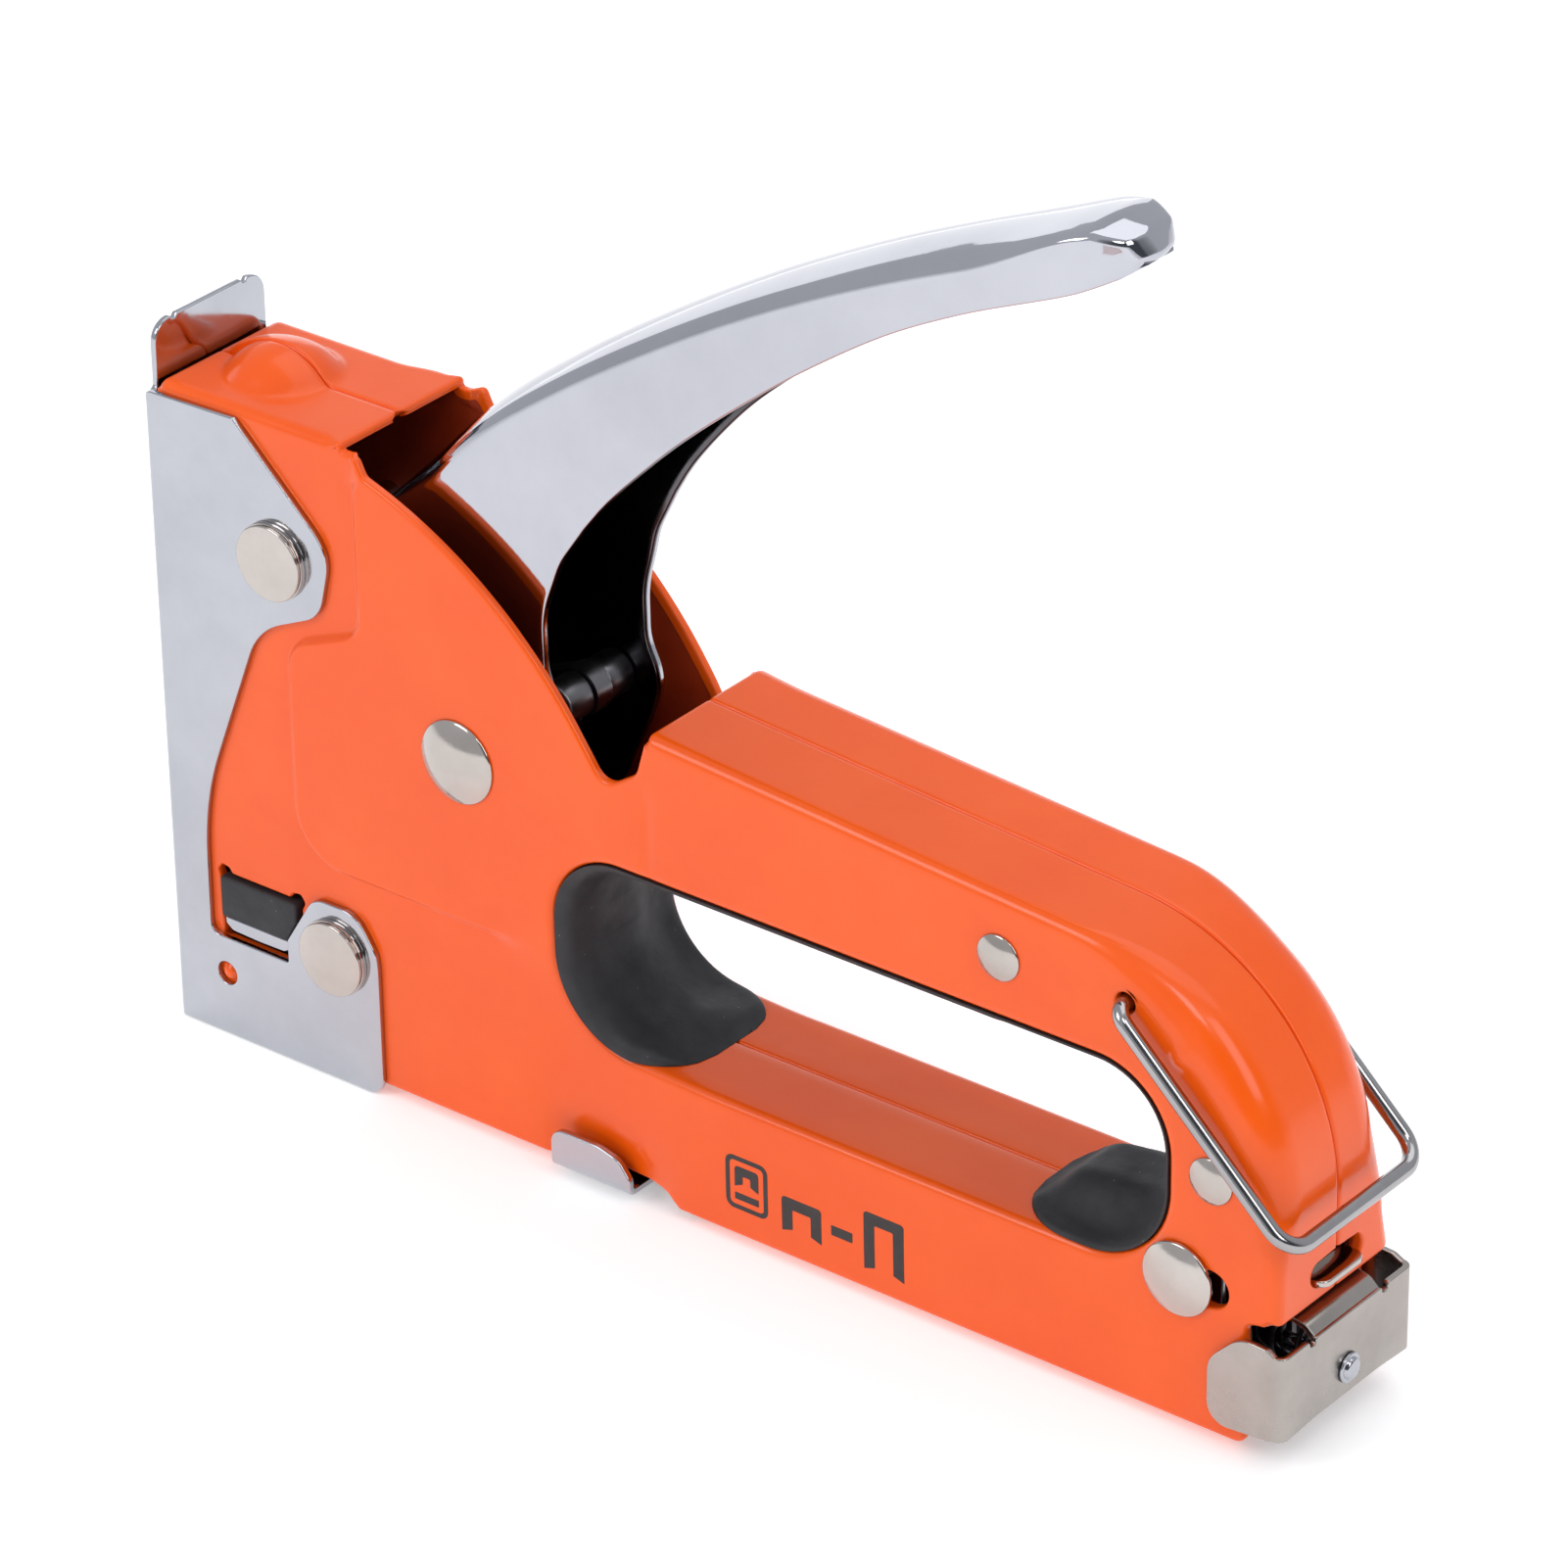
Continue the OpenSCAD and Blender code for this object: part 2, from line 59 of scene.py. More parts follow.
class Outline:
    """A closed anticlockwise outline of corners (a, b, radius[, step]). step is the longest edge of the
    stretch that follows the corner. ring(d) gives its points moved inwards by d, always as many."""

    def __init__(self, corners, step=3.0):
        self.p = np.array([c[:2] for c in corners], float)
        self.r = [c[2] for c in corners]
        n = len(corners)
        u = np.roll(self.p, -1, 0) - self.p
        length = np.linalg.norm(u, axis=1)
        self.u = u / length[:, None]
        self.arcs, self.cuts = [], []
        for i in range(n):
            turn = math.acos(np.clip(self.u[i - 1] @ self.u[i], -1, 1))
            bent = turn > math.radians(0.4) and self.r[i] > 0.01
            self.arcs.append(min(48, max(3, math.ceil(math.degrees(turn) / 9),
                                         math.ceil(self.r[i] * turn / 0.9))) if bent else 0)
            s = corners[i][3] if len(corners[i]) > 3 else step
            self.cuts.append(max(1, math.ceil(length[i] / s)))

    def ring(self, d=0.0):
        n, out = len(self.p), []
        ends = []
        for i in range(n):
            u, v = self.u[i - 1], self.u[i]
            m = np.array((-u[1] - v[1], u[0] + v[0]))
            q = self.p[i] + m * 2 * d / (m @ m)
            left = u[0] * v[1] - u[1] * v[0] > 0
            r = max(0.0, self.r[i] - d if left else self.r[i] + d) if self.r[i] > 0.01 or not left else 0.0
            k = self.arcs[i]
            if k == 0 or r < 0.005:
                ends.append([q] * (k + 1))
                continue
            half = (math.pi - math.acos(np.clip(u @ v, -1, 1))) / 2
            mid = (v - u) / np.linalg.norm(v - u)
            c, t = q + mid * r / math.sin(half), r / math.tan(half)
            a, b = q - u * t - c, q + v * t - c
            turn = math.acos(np.clip(a @ b / r / r, -1, 1)) * (1 if a[0] * b[1] - a[1] * b[0] > 0 else -1)
            ends.append([c + np.array((a[0] * math.cos(w) - a[1] * math.sin(w),
                                       a[0] * math.sin(w) + a[1] * math.cos(w)))
                         for w in np.linspace(0, turn, k + 1)])
        for i in range(n):
            out += ends[i]
            a, b, k = ends[i][-1], ends[(i + 1) % n][0], self.cuts[i]
            out += [a + (b - a) * j / k for j in range(1, k)]
        return np.array(out)

    def at(self, d, index):
        """Outline points by number, each with its own inward distance."""
        grid = 0.1
        low = np.floor(np.asarray(d, float) / grid).astype(int)
        part = (d / grid - low)[:, None]
        rings = {k: self.ring(k * grid) for k in set(low) | set(low + 1)}
        pick = lambda keys: np.array([rings[k][i] for k, i in zip(keys, index)])
        return pick(low) * (1 - part) + pick(low + 1) * part


def circle(x, z, r):
    n = 32
    return Outline([(x + r * math.cos(t), z + r * math.sin(t), 0)
                    for t in np.linspace(0, 2 * math.pi, n, endpoint=False)], 99)


def inside(points, poly):
    """Which points lie inside a closed ring."""
    x, y = points[:, 0:1], points[:, 1:2]
    a, b = poly, np.roll(poly, -1, 0)
    rise = np.where(a[:, 1] == b[:, 1], 1e-9, b[:, 1] - a[:, 1])
    hit = ((a[:, 1] > y) != (b[:, 1] > y)) & (x < (b[:, 0] - a[:, 0]) * (y - a[:, 1]) / rise + a[:, 0])
    return hit.sum(1) % 2 == 1


def distance(points, line, closed=False):
    """Distance from each point to a polyline."""
    a = line if closed else line[:-1]
    b = np.roll(line, -1, 0) if closed else line[1:]
    best = np.full(len(points), 1e9)
    for p, q in zip(a, b):
        e = q - p
        t = np.clip((points - p) @ e / max(e @ e, 1e-12), 0, 1)
        best = np.minimum(best, np.linalg.norm(points - p - t[:, None] * e, axis=1))
    return best


def smooth_line(points, step):
    """Catmull-Rom curve through points, with about one point per step."""
    p = np.array(points, float)
    p = np.vstack([2 * p[0] - p[1], p, 2 * p[-1] - p[-2]])
    out = []
    for i in range(1, len(p) - 2):
        k = max(1, round(np.linalg.norm(p[i + 1] - p[i]) / step))
        for t in np.arange(k) / k:
            out.append(0.5 * (2 * p[i] + (p[i + 1] - p[i - 1]) * t
                              + (2 * p[i - 1] - 5 * p[i] + 4 * p[i + 1] - p[i + 2]) * t * t
                              + (3 * p[i] - p[i - 1] - 3 * p[i + 1] + p[i + 2]) * t ** 3))
    return np.array(out + [p[-2]])


def square_ends(flag):
    """Point numbers round an outline, and which of them are cuts: zero-length steps wherever flag starts or
    ends, so that a turned-in sheet ends square."""
    index, cut, n = [], [], len(flag)
    for i in range(n):
        j = (i + 1) % n
        index.append(i)
        cut.append(False)
        if flag[i] != flag[j]:
            index.append(i if flag[i] else j)
            cut.append(True)
    return np.array(index), np.array(cut)


# ---------------------------------------------------------------- mesh building

MERGE = 0.004  # points closer than this become one

class Mesh:
    """Vertices in millimetres, and faces with a material index."""

    def __init__(self):
        self.v, self.f, self.m, self.n = [], [], [], 0

    def points(self, p):
        p = np.asarray(p, float)
        self.v.append(p)
        self.n += len(p)
        return np.arange(self.n - len(p), self.n)

    def faces(self, f, m=0):
        self.f += [tuple(int(i) for i in q) for q in f]
        self.m += [m] * len(f)

    def loft(self, rings, closed=True, m=0):
        """Quads between successive rings of as many points. m is one index, or one per band."""
        ids = [self.points(r) for r in rings]
        for k, (a, b) in enumerate(zip(ids[:-1], ids[1:])):
            c, d = (np.roll(a, -1), np.roll(b, -1)) if closed else (a[1:], b[1:])
            a, b = (a, b) if closed else (a[:-1], b[:-1])
            self.faces(np.stack([a, c, d, b], 1), m if isinstance(m, int) else m[k])
        return ids

    def fill(self, outer, holes=(), lines=(), dots=(), place=None, m=0):
        """Triangles inside the 2-D ring outer, less the holes. place turns (n, 2) into (n, 3)."""
        verts, edges = [], []

        def add(ring, closed):
            start = len(verts)
            verts.extend(Vector(p) for p in ring)
            n = len(ring)
            edges.extend((start + i, start + (i + 1) % n) for i in range(n if closed else n - 1))

        for r in [outer, *holes]:
            r = np.asarray(r)
            keep = np.linalg.norm(r - np.roll(r, 1, 0), axis=1) > 1e-4
            add(r[keep], True)
        for r in lines:
            if len(r) > 1:
                add(r, False)
        verts.extend(Vector(p) for p in dots)
        co, _, tris, *_ = delaunay_2d_cdt(verts, edges, [], 1, 1e-6, False)
        co = np.array([tuple(c) for c in co])
        tris = np.array([t for t in tris if len(t) == 3])
        mid = co[tris].mean(1)
        ok = inside(mid, np.asarray(outer))
        for h in holes:
            ok &= ~inside(mid, np.asarray(h))
        ids = self.points(place(co))
        self.faces(ids[tris[ok]], m)

    def finish(self, name, mats, body, replaces=(), angle=40, joined=False):
        """Makes the object, with its materials, body and the CAD nodes that it stands for. joined says
        that two mirrored halves have met, and drops the walls left between them on the middle plane."""
        bm = bmesh.new()
        vs = [bm.verts.new(p) for p in np.vstack(self.v) * MM]
        for f, m in zip(self.f, self.m):
            if len(set(f)) < 3:
                continue
            try:
                face = bm.faces.new([vs[i] for i in f])
            except ValueError:
                continue
            face.material_index, face.smooth = m, True
        bmesh.ops.remove_doubles(bm, verts=bm.verts, dist=MERGE * MM)
        bmesh.ops.dissolve_degenerate(bm, dist=MERGE * MM * 0.2, edges=bm.edges)
        if joined:
            middle = [f for f in bm.faces if all(abs(v.co.y) < 1e-7 for v in f.verts)]
            bmesh.ops.delete(bm, geom=middle, context="FACES")
        bmesh.ops.delete(bm, geom=[v for v in bm.verts if not v.link_faces], context="VERTS")
        bmesh.ops.recalc_face_normals(bm, faces=bm.faces)
        for f in bm.faces:
            f.smooth = True
        mesh = bpy.data.meshes.new(name)
        bm.to_mesh(mesh)
        bm.free()
        mesh.set_sharp_from_angle(angle=math.radians(angle))
        o = bpy.data.objects.new(name, mesh)
        bpy.context.scene.collection.objects.link(o)
        for k in mats if isinstance(mats, (list, tuple)) else [mats]:
            mesh.materials.append(k)
        if replaces:
            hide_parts(*replaces)
        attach(o, body)
        return o


def round_profile(r, n=5):
    """(inward, depth) from the end of a face round its edge, for an edge radius r."""
    return [(r * (1 - math.sin(t)), r * (1 - math.cos(t))) for t in np.linspace(0, math.pi / 2, n)]


def slab(mesh, outline, t0, t1, r, place, holes=(), n=4, lines=(), dots=()):
    """A plate between depths t0 and t1 with its edges rounded to r. place(points, depth) gives 3-D points."""
    prof = [(d, t0 + h) for d, h in round_profile(r, n)] + [(d, t1 - h) for d, h in round_profile(r, n)[::-1]]
    for o, sign in [(outline, 1), *((h, -1) for h in holes)]:
        mesh.loft([place(o.ring(sign * d), h) for d, h in prof])
    for t in (t0, t1):
        mesh.fill(outline.ring(r), [h.ring(-r) for h in holes], lines, dots, lambda p: place(p, t))


def xz(y_of_depth=lambda h: h):
    return lambda p, h: np.column_stack([p[:, 0], np.full(len(p), y_of_depth(h)), p[:, 1]])


def lathe(mesh, profile, at, axis="y", side=1, n=56):
    """A turned shape: profile of (radius, height) along axis from the point at."""
    t = np.linspace(0, 2 * math.pi, n, endpoint=False)
    rings = []
    for r, h in profile:
        a, b, c = r * np.cos(t), r * np.sin(t), np.full(n, h * side)
        rings.append(np.array(at) + np.column_stack([a, c, b] if axis == "y" else [c, a, b]))
    mesh.loft(rings)


def tube(mesh, path, r, n):
    """A round wire along points with rounded ends, its ring carried along without twist."""
    p = np.array(path, float)
    tangent = np.gradient(p, axis=0)
    tangent /= np.linalg.norm(tangent, axis=1)[:, None]
    ref = np.cross(tangent[0], (0, 0, 1) if abs(tangent[0][2]) < 0.9 else (1, 0, 0))
    rings, t = [], np.linspace(0, 2 * math.pi, n, endpoint=False)
    for q, w in zip(p, tangent):
        ref = ref - w * (ref @ w)
        ref /= np.linalg.norm(ref)
        rings.append(q + r * (np.cos(t)[:, None] * ref + np.sin(t)[:, None] * np.cross(w, ref)))
    for k, s in ((0, -1), (-1, 1)):
        w = tangent[k] * s
        extra = [p[k] + (rings[k] - p[k]) * math.cos(a) + w * r * 0.5 * math.sin(a)
                 for a in (0.5, 1.0, 1.4, 1.5707)]
        rings = extra[::-1] + rings if k == 0 else rings + extra
    mesh.loft(rings)


def helix(start, axis, length, r, turns, per_turn, ends=1.0):
    """Points of a coil spring, with its first and last turns closed up."""
    n = int(turns * per_turn)
    s = np.linspace(0, 1, n + 1)
    k = np.clip(np.minimum(s, 1 - s) * turns / ends, 0, 1)
    speed = 0.35 + 0.65 * smoothstep(0, 1, k)
    rise = np.concatenate([[0], np.cumsum((speed[1:] + speed[:-1]) / 2)])
    rise = rise / rise[-1] * length
    a = 2 * math.pi * turns * s
    c, d = r * np.cos(a), r * np.sin(a)
    cols = {"z": (c, d, rise), "x": (rise, c, d), "y": (c, rise, d)}[axis]
    return np.column_stack(cols) + np.array(start)


# ---------------------------------------------------------------- materials

class Nodes:
    """A material with a Principled shader, whose colour, roughness and bump come from textures."""

    def __init__(self, name):
        self.m = bpy.data.materials.new(name)
        self.m.use_nodes = True
        self.t = self.m.node_tree
        self.b = next(n for n in self.t.nodes if n.type == "BSDF_PRINCIPLED")
        self.coord = self.t.nodes.new("ShaderNodeTexCoord").outputs["Object"]

    def link(self, a, b):
        self.t.links.new(a, b)

    def set(self, **k):
        for a, v in k.items():
            self.b.inputs[a.replace("_", " ")].default_value = v
        return self

    def stretched(self, scale):
        n = self.t.nodes.new("ShaderNodeMapping")
        n.inputs["Scale"].default_value = scale
        self.link(self.coord, n.inputs["Vector"])
        return n.outputs["Vector"]

    def noise(self, scale, detail=3.0, rough=0.5, vector=None):
        n = self.t.nodes.new("ShaderNodeTexNoise")
        n.inputs["Scale"].default_value = scale
        n.inputs["Detail"].default_value = detail
        n.inputs["Roughness"].default_value = rough
        self.link(vector or self.coord, n.inputs["Vector"])
        return n.outputs["Fac"]

    def cells(self, scale):
        n = self.t.nodes.new("ShaderNodeTexVoronoi")
        n.inputs["Scale"].default_value = scale
        self.link(self.coord, n.inputs["Vector"])
        return n.outputs["Distance"]

    def ramp(self, fac, stops):
        n = self.t.nodes.new("ShaderNodeValToRGB")
        e = n.color_ramp.elements
        while len(e) < len(stops):
            e.new(0.5)
        for k, (pos, col) in enumerate(stops):
            e[k].position = pos
            e[k].color = (col, col, col, 1) if isinstance(col, (int, float)) else (*col, 1)
        self.link(fac, n.inputs["Fac"])
        return n.outputs["Color"]

    def bump(self, *layers):
        """Bump from (height, strength, distance) layers, one on the other."""
        normal = None
        for height, strength, dist in layers:
            n = self.t.nodes.new("ShaderNodeBump")
            n.inputs["Strength"].default_value = strength
            n.inputs["Distance"].default_value = dist
            self.link(height, n.inputs["Height"])
            if normal:
                self.link(normal, n.inputs["Normal"])
            normal = n.outputs["Normal"]
        self.link(normal, self.b.inputs["Normal"])
        return self

    def use(self, **k):
        for a, v in k.items():
            self.link(v, self.b.inputs[a.replace("_", " ")])
        return self


# Darker, rougher copy of the orange enamel for the shells' inner faces: painted shade, standing in for the
# shadow inside the body.
def enamel_shaded_inside():
    n = Nodes("enamel_painted_shade")
    n.use(Base_Color=n.ramp(n.noise(80, 4, 0.6), [(0.3, (0.30, 0.024, 0.002)), (0.7, (0.42, 0.038, 0.003))]),
          Roughness=n.ramp(n.noise(300, 3), [(0.3, 0.42), (0.7, 0.58)]))
    return n.bump((n.noise(500, 3), 0.06, 0.0004)).m


def enamel():
    n = Nodes("orange_enamel")
    n.set(Specular_IOR_Level=0.32, Coat_Weight=0.22, Coat_Roughness=0.02)
    n.use(Base_Color=n.ramp(n.noise(60, 4, 0.6), [(0.3, (0.90, 0.096, 0.003)), (0.7, (0.95, 0.115, 0.005))]),
          Roughness=n.ramp(n.noise(220, 3), [(0.35, 0.20), (0.65, 0.27)]))
    return n.bump((n.noise(900, 2), 0.035, 0.0004), (n.noise(90, 2), 0.10, 0.0006)).m


GRAIN, MOTTLE = 900.0, 45.0  # noise scales of plated metal, per metre


def plated(name, dark, light, rough, streak=(1, 1, 1), bump=0.05):
    """Plated or bare metal with mottling, fine grain and a rolling direction."""
    n = Nodes(name)
    n.set(Metallic=1.0)
    rolled = n.stretched(streak)
    n.use(Base_Color=n.ramp(n.noise(MOTTLE, 5, 0.65), [(0.3, dark), (0.7, light)]),
          Roughness=n.ramp(n.noise(GRAIN * 0.3, 4, 0.6, rolled), [(0.3, rough[0]), (0.7, rough[1])]))
    return n.bump((n.noise(GRAIN, 3, 0.6, rolled), bump, 0.0002), (n.noise(MOTTLE * 1.5, 2), 0.06, 0.0008)).m


def rubber():
    n = Nodes("black_rubber")
    dust = n.ramp(n.cells(520), [(0.0, (0.30, 0.30, 0.31)), (0.05, (0.025, 0.025, 0.028)),
                                 (1.0, (0.018, 0.018, 0.021))])
    n.set(Specular_IOR_Level=0.45)
    n.use(Base_Color=dust, Roughness=n.ramp(n.noise(300, 4), [(0.3, 0.52), (0.7, 0.68)]))
    return n.bump((n.noise(1500, 3), 0.18, 0.0002), (n.noise(130, 2), 0.08, 0.0006)).m


MAT = { "enamel": enamel(), "enamel_shaded_inside": enamel_shaded_inside(),
       "zinc": plated("zinc_plate", (0.42, 0.43, 0.465), (0.50, 0.51, 0.55), (0.08, 0.16),
                      streak=(1, 1, 0.12)), "nickel": plated("nickel_plate", (0.44, 0.402, 0.37),
                                                             (0.58, 0.535, 0.50), (0.08, 0.17)),
       "satin": plated("satin_nickel", (0.345, 0.315, 0.29), (0.485, 0.45, 0.42), (0.20, 0.30),
                       streak=(1, 0.15, 1)), "chrome": plated("chrome_plate", (0.46, 0.465, 0.505),
                                                              (0.52, 0.525, 0.57), (0.03, 0.08),
                                                              bump=0.015),
       "wire": plated("bright_wire", (0.34, 0.335, 0.34), (0.44, 0.435, 0.44), (0.10, 0.18)),
       "steel": plated("oiled_steel", (0.10, 0.10, 0.11), (0.22, 0.22, 0.23), (0.25, 0.42)),
       # Darker copy of the chrome for the lever's inner faces: painted shade for its shadowed inside.
       "inside": plated("chrome_painted_shade", (0.07, 0.068, 0.075), (0.15, 0.145, 0.155), (0.12, 0.22)),
       "spring": plated("spring_steel", (0.05, 0.05, 0.055), (0.13, 0.13, 0.14), (0.3, 0.5)),
       "rubber": rubber(), }


def ink():
    n = Nodes("printed_mark")
    n.use(Base_Color=n.ramp(n.noise(700, 3), [(0.3, (0.012, 0.011, 0.011)), (0.7, (0.02, 0.018, 0.018))]),
          Roughness=n.ramp(n.noise(400), [(0.3, 0.3), (0.7, 0.42)]))
    return n.bump((n.noise(1200), 0.05, 0.0001)).m


MAT["ink"] = ink()

# ---------------------------------------------------------------- shells

HALF, NOSE_HALF, SHEET, SEAM = 11.1, 10.3, 1.2, 0.05
STEP = HALF - NOSE_HALF
BODY = Outline([ (1.0, 1.2, 0.5), (57.4, 1.2, 0.4), (57.4, 3.2, 0.5), (71.0, 3.2, 0.6), (74.1, 2.5, 0.8),
                (75.9, 1.2, 0.8), (154.2, 1.2, 1.5), (154.2, 16.8, 1.0), (158.2, 17.6, 0.6, 0.4),
                (158.2, 19.1, 0, 0.16), (158.2, 22.7, 0, 0.8), (158.2, 55.6, 28, 1.5),
                (72.8, 61.5, 0.8, 0.6), (71.2, 56.0, 2.4), (66.6, 53.0, 2.2), (51.6, 74.6, 58),
                (32.7, 80.9, 1.0, 0.6), (31.6, 83.1, 0.9, 0.4), (29.9, 82.8, 0.5, 0.3),
                (28.9, 82.8, 0.3, 0.2), (28.9, 83.8, 0.6, 0.18), (27.0, 83.8, 0, 0.42), (1.0, 83.8, 1.6)],
               1.2)
HOLE_CORNERS = [(58.6, 18.4, 11), (143.6, 18.4, 11), (143.6, 43.0, 9.5), (58.6, 43.0, 9.5)]
HOLE, HOLE_FINE = Outline(HOLE_CORNERS, 1.5), Outline(HOLE_CORNERS, 0.8)
PANEL = Outline([
    (19.8, 28.2, 7), (70, 28.2, 3), (70, -5, 0), (170, -5, 0), (170, 90, 0),
    (30.9, 90, 0), (30.9, 60.5, 3.5), (19.8, 56.0, 5)], 1.0)
WINDOW = Outline([ (6.9, 12.7, 0.4), (19.3, 12.7, 0.4), (19.4, 20.6, 0.3), (19.9, 21.6, 0.5),
                  (19.3, 22.5, 0.5), (18.2, 22.3, 0.5), (17.6, 21.6, 0.4), (8.6, 21.6, 0.4),
                  (8.1, 22.3, 0.5), (7.0, 22.5, 0.5), (6.4, 21.6, 0.5), (6.8, 20.6, 0.3)])
BAIL_AT, PIN_AT, PIN_R = (137.9, 50.8), (145.4, 19.5), 2.25
SLOT_X, SLOT_Z = (PIN_AT[0] - 2.0, PIN_AT[0] + 6.4), (PIN_AT[1] - PIN_R, PIN_AT[1] + PIN_R)
SLOT = Outline([(SLOT_X[0], SLOT_Z[0], PIN_R), (SLOT_X[1], SLOT_Z[0], PIN_R - 0.01),
                (SLOT_X[1], SLOT_Z[1], PIN_R - 0.01), (SLOT_X[0], SLOT_Z[1], PIN_R)])
DOME_X, DOME_R, DOME_SINK = 11.2, 8.0, 4.4
PANEL_RING, BODY_RING = PANEL.ring(), BODY.ring()
SLIM, FLARE = 1.2, 1.0
TOP_FOLD, BACK_FOLD, SLIM_FOLD, PLAIN_EDGE, LOW_REACH = 1.3, 1.5, 2.3, 0.55, 3.3


def half_width(p, side=-1):
    """Outer half width of the side wall at (x, z): the raised panel fades into the lower bar. The right
    half (side 1) is slimmer along the grip and flares a little round the lever opening."""
    p = np.asarray(p, float)
    x, z = p[:, 0], p[:, 1]
    sd = distance(p, PANEL_RING, True) * np.where(inside(p, PANEL_RING), 1, -1)
    soft = 0.5 + 14 * smoothstep(48, 66, x) * smoothstep(36, 30, z)
    w = NOSE_HALF + STEP * smoothstep(-1, 1, sd / soft)
    crease = 0.16 * np.exp(-((x - 72.6) / 0.9) ** 2) * smoothstep(42, 45, z) * smoothstep(56, 52, z)
    bump = 0.35 * smoothstep(1.7, 0.5, np.hypot(x - 145.2, z - 46.6))
    dimple = 0.75 * smoothstep(1.5, 0.3, np.hypot(x - 7.7, z - 8.3))
    pocket = 0.4 * smoothstep(55.5, 57.5, x) * smoothstep(75.5, 72.5, x) * smoothstep(9.0, 7.4, z)
    w = w - crease + bump + dimple - pocket
    if side < 0:
        return w
    flare = smoothstep(20, 26, x) * smoothstep(70, 64, x) * smoothstep(44, 52, z)
    flare *= smoothstep(9, 3, distance(p, BODY_RING, True))
    slim = smoothstep(62, 80, x) * (1 - smoothstep(140, 148, x) * smoothstep(24, 16, z))
    return w + FLARE * flare - SLIM * slim


def shell(name, side):
    """One pressed half: its side wall, the edges turned in to the seam, the holes and the inside."""
    mesh = Mesh()
    wide = lambda p: half_width(p, side)
    base = BODY.ring()
    x, z = base[:, 0], base[:, 1]
    top = (x < 28.95) & (z > 82.62)
    back = ((x > 72.4) & (z > 59.6)) | ((x > 75) & (z > 17.35))
    flange = top | back
    low = (z < 1.25) & (((x > 19) & (x < 56)) | ((x > 77.5) & (x < 152)))
    width = wide(base)
    # edge radius, and how far the sheet is turned in
    fold = BACK_FOLD if side < 0 else SLIM_FOLD
    edge = np.where(top, TOP_FOLD - (TOP_FOLD - PLAIN_EDGE) * smoothstep(26.5, 28.5, x), PLAIN_EDGE)
    edge = np.where(back, fold + 3.0 * smoothstep(130, 147, x) * smoothstep(23, 34, z), edge)
    reach = np.full(len(base), SHEET)
    reach[flange] = (width - SEAM)[flange]
    corner = np.where(top, np.clip(x - 27.9, 0, 1), 0)
    reach -= np.where(top, 1 - np.sqrt(1 - corner ** 2), 0)
    # thumb slot across the seam of the rear wall, with round ends
    slot_half, slot_straight = 1.7, 3.0
    slot_z = np.abs(z - 20.9)
    in_slot = (x > 158.1) & (slot_z < slot_half)
    slot_end = slot_straight + np.sqrt(np.maximum(slot_half ** 2 - slot_z ** 2, 0))
    reach = np.where(in_slot, width - slot_end, reach)
    reach[low] = LOW_REACH
    index, cut = square_ends(flange)
    edge, reach, width = edge[index], np.where(cut, SHEET + 0.02, reach[index]), width[index]
    seam_r = np.minimum(0.4, (reach - edge) * 0.5)
    mids = 22

    def ring(d, h):
        d, h = np.broadcast_to(d, index.shape), np.broadcast_to(h, index.shape)
        p = BODY.at(d, index)
        y = wide(p) - h
        y = np.where(h > SHEET, np.maximum(width - h, SEAM), y)
        # dome over the main spring, stretched forward on the far side
        dx = p[:, 0] - DOME_X
        if side > 0:
            dx = np.where(dx < 0, dx * 0.8, dx)
        r = np.hypot(dx, y)
        ball = np.sqrt(np.maximum(DOME_R ** 2 - r ** 2, 0)) - DOME_SINK
        # soft maximum of ball and floor, k wide
        k, floor_level = 0.9, 1.5
        sunk = 0.5 * (math.sqrt(floor_level ** 2 + k * k) - floor_level)
        rise = 0.5 * (ball + np.sqrt(ball ** 2 + k * k)) - sunk
        rise = np.maximum(rise * smoothstep(9.2, 7.2, r) * smoothstep(1.2, 4.2, p[:, 0]), 0)
        on_top = (p[:, 0] < 27.5) & (p[:, 1] > 81.5) & (h > edge * 0.9)
        return np.column_stack([p[:, 0], side * y, p[:, 1] + np.where(on_top, rise, 0)])

    rings = [ring(edge + 0.35, 0)]
    for t in np.linspace(0, math.pi / 2, 8):
        rings.append(ring(edge * (1 - math.sin(t)), edge * (1 - math.cos(t))))
    for k in range(1, mids + 1):
        rings.append(ring(0, edge + (reach - seam_r - edge) * k / mids))
    for t in (0.5, 1.0, math.pi / 2):
        rings.append(ring(seam_r * (1 - math.cos(t)), reach - seam_r + seam_r * math.sin(t)))
    gap = 0.25
    rings.append(ring(SHEET, reach))
    root = np.minimum(np.maximum(SHEET + gap, edge), reach)
    for k in range(1, 9):
        rings.append(ring(SHEET, reach + (root - reach) * k / 8))
    rings.append(ring(SHEET + gap, np.maximum(SHEET, edge)))
    rings.append(ring(np.maximum(edge, SHEET) + 0.6, SHEET))
    # The last bands, on the inner side of the sheet, take the darker enamel (index 1): painted shade.
    mesh.loft(rings, m=[0] * (len(rings) - 11) + [1] * 10)
    outer_loop = rings[0][:, [0, 2]]
    inner_loop = rings[-1][:, [0, 2]]

    # finger hole with its lip turned in to the seam
    lip_r = 1.15
    hole_w = wide(HOLE.ring())

    def lip(d, h, rel=True):
        p = HOLE.ring(-d)
        y = (wide(p) - h) if rel else hole_w - h
        return np.column_stack([p[:, 0], side * y, p[:, 1]])

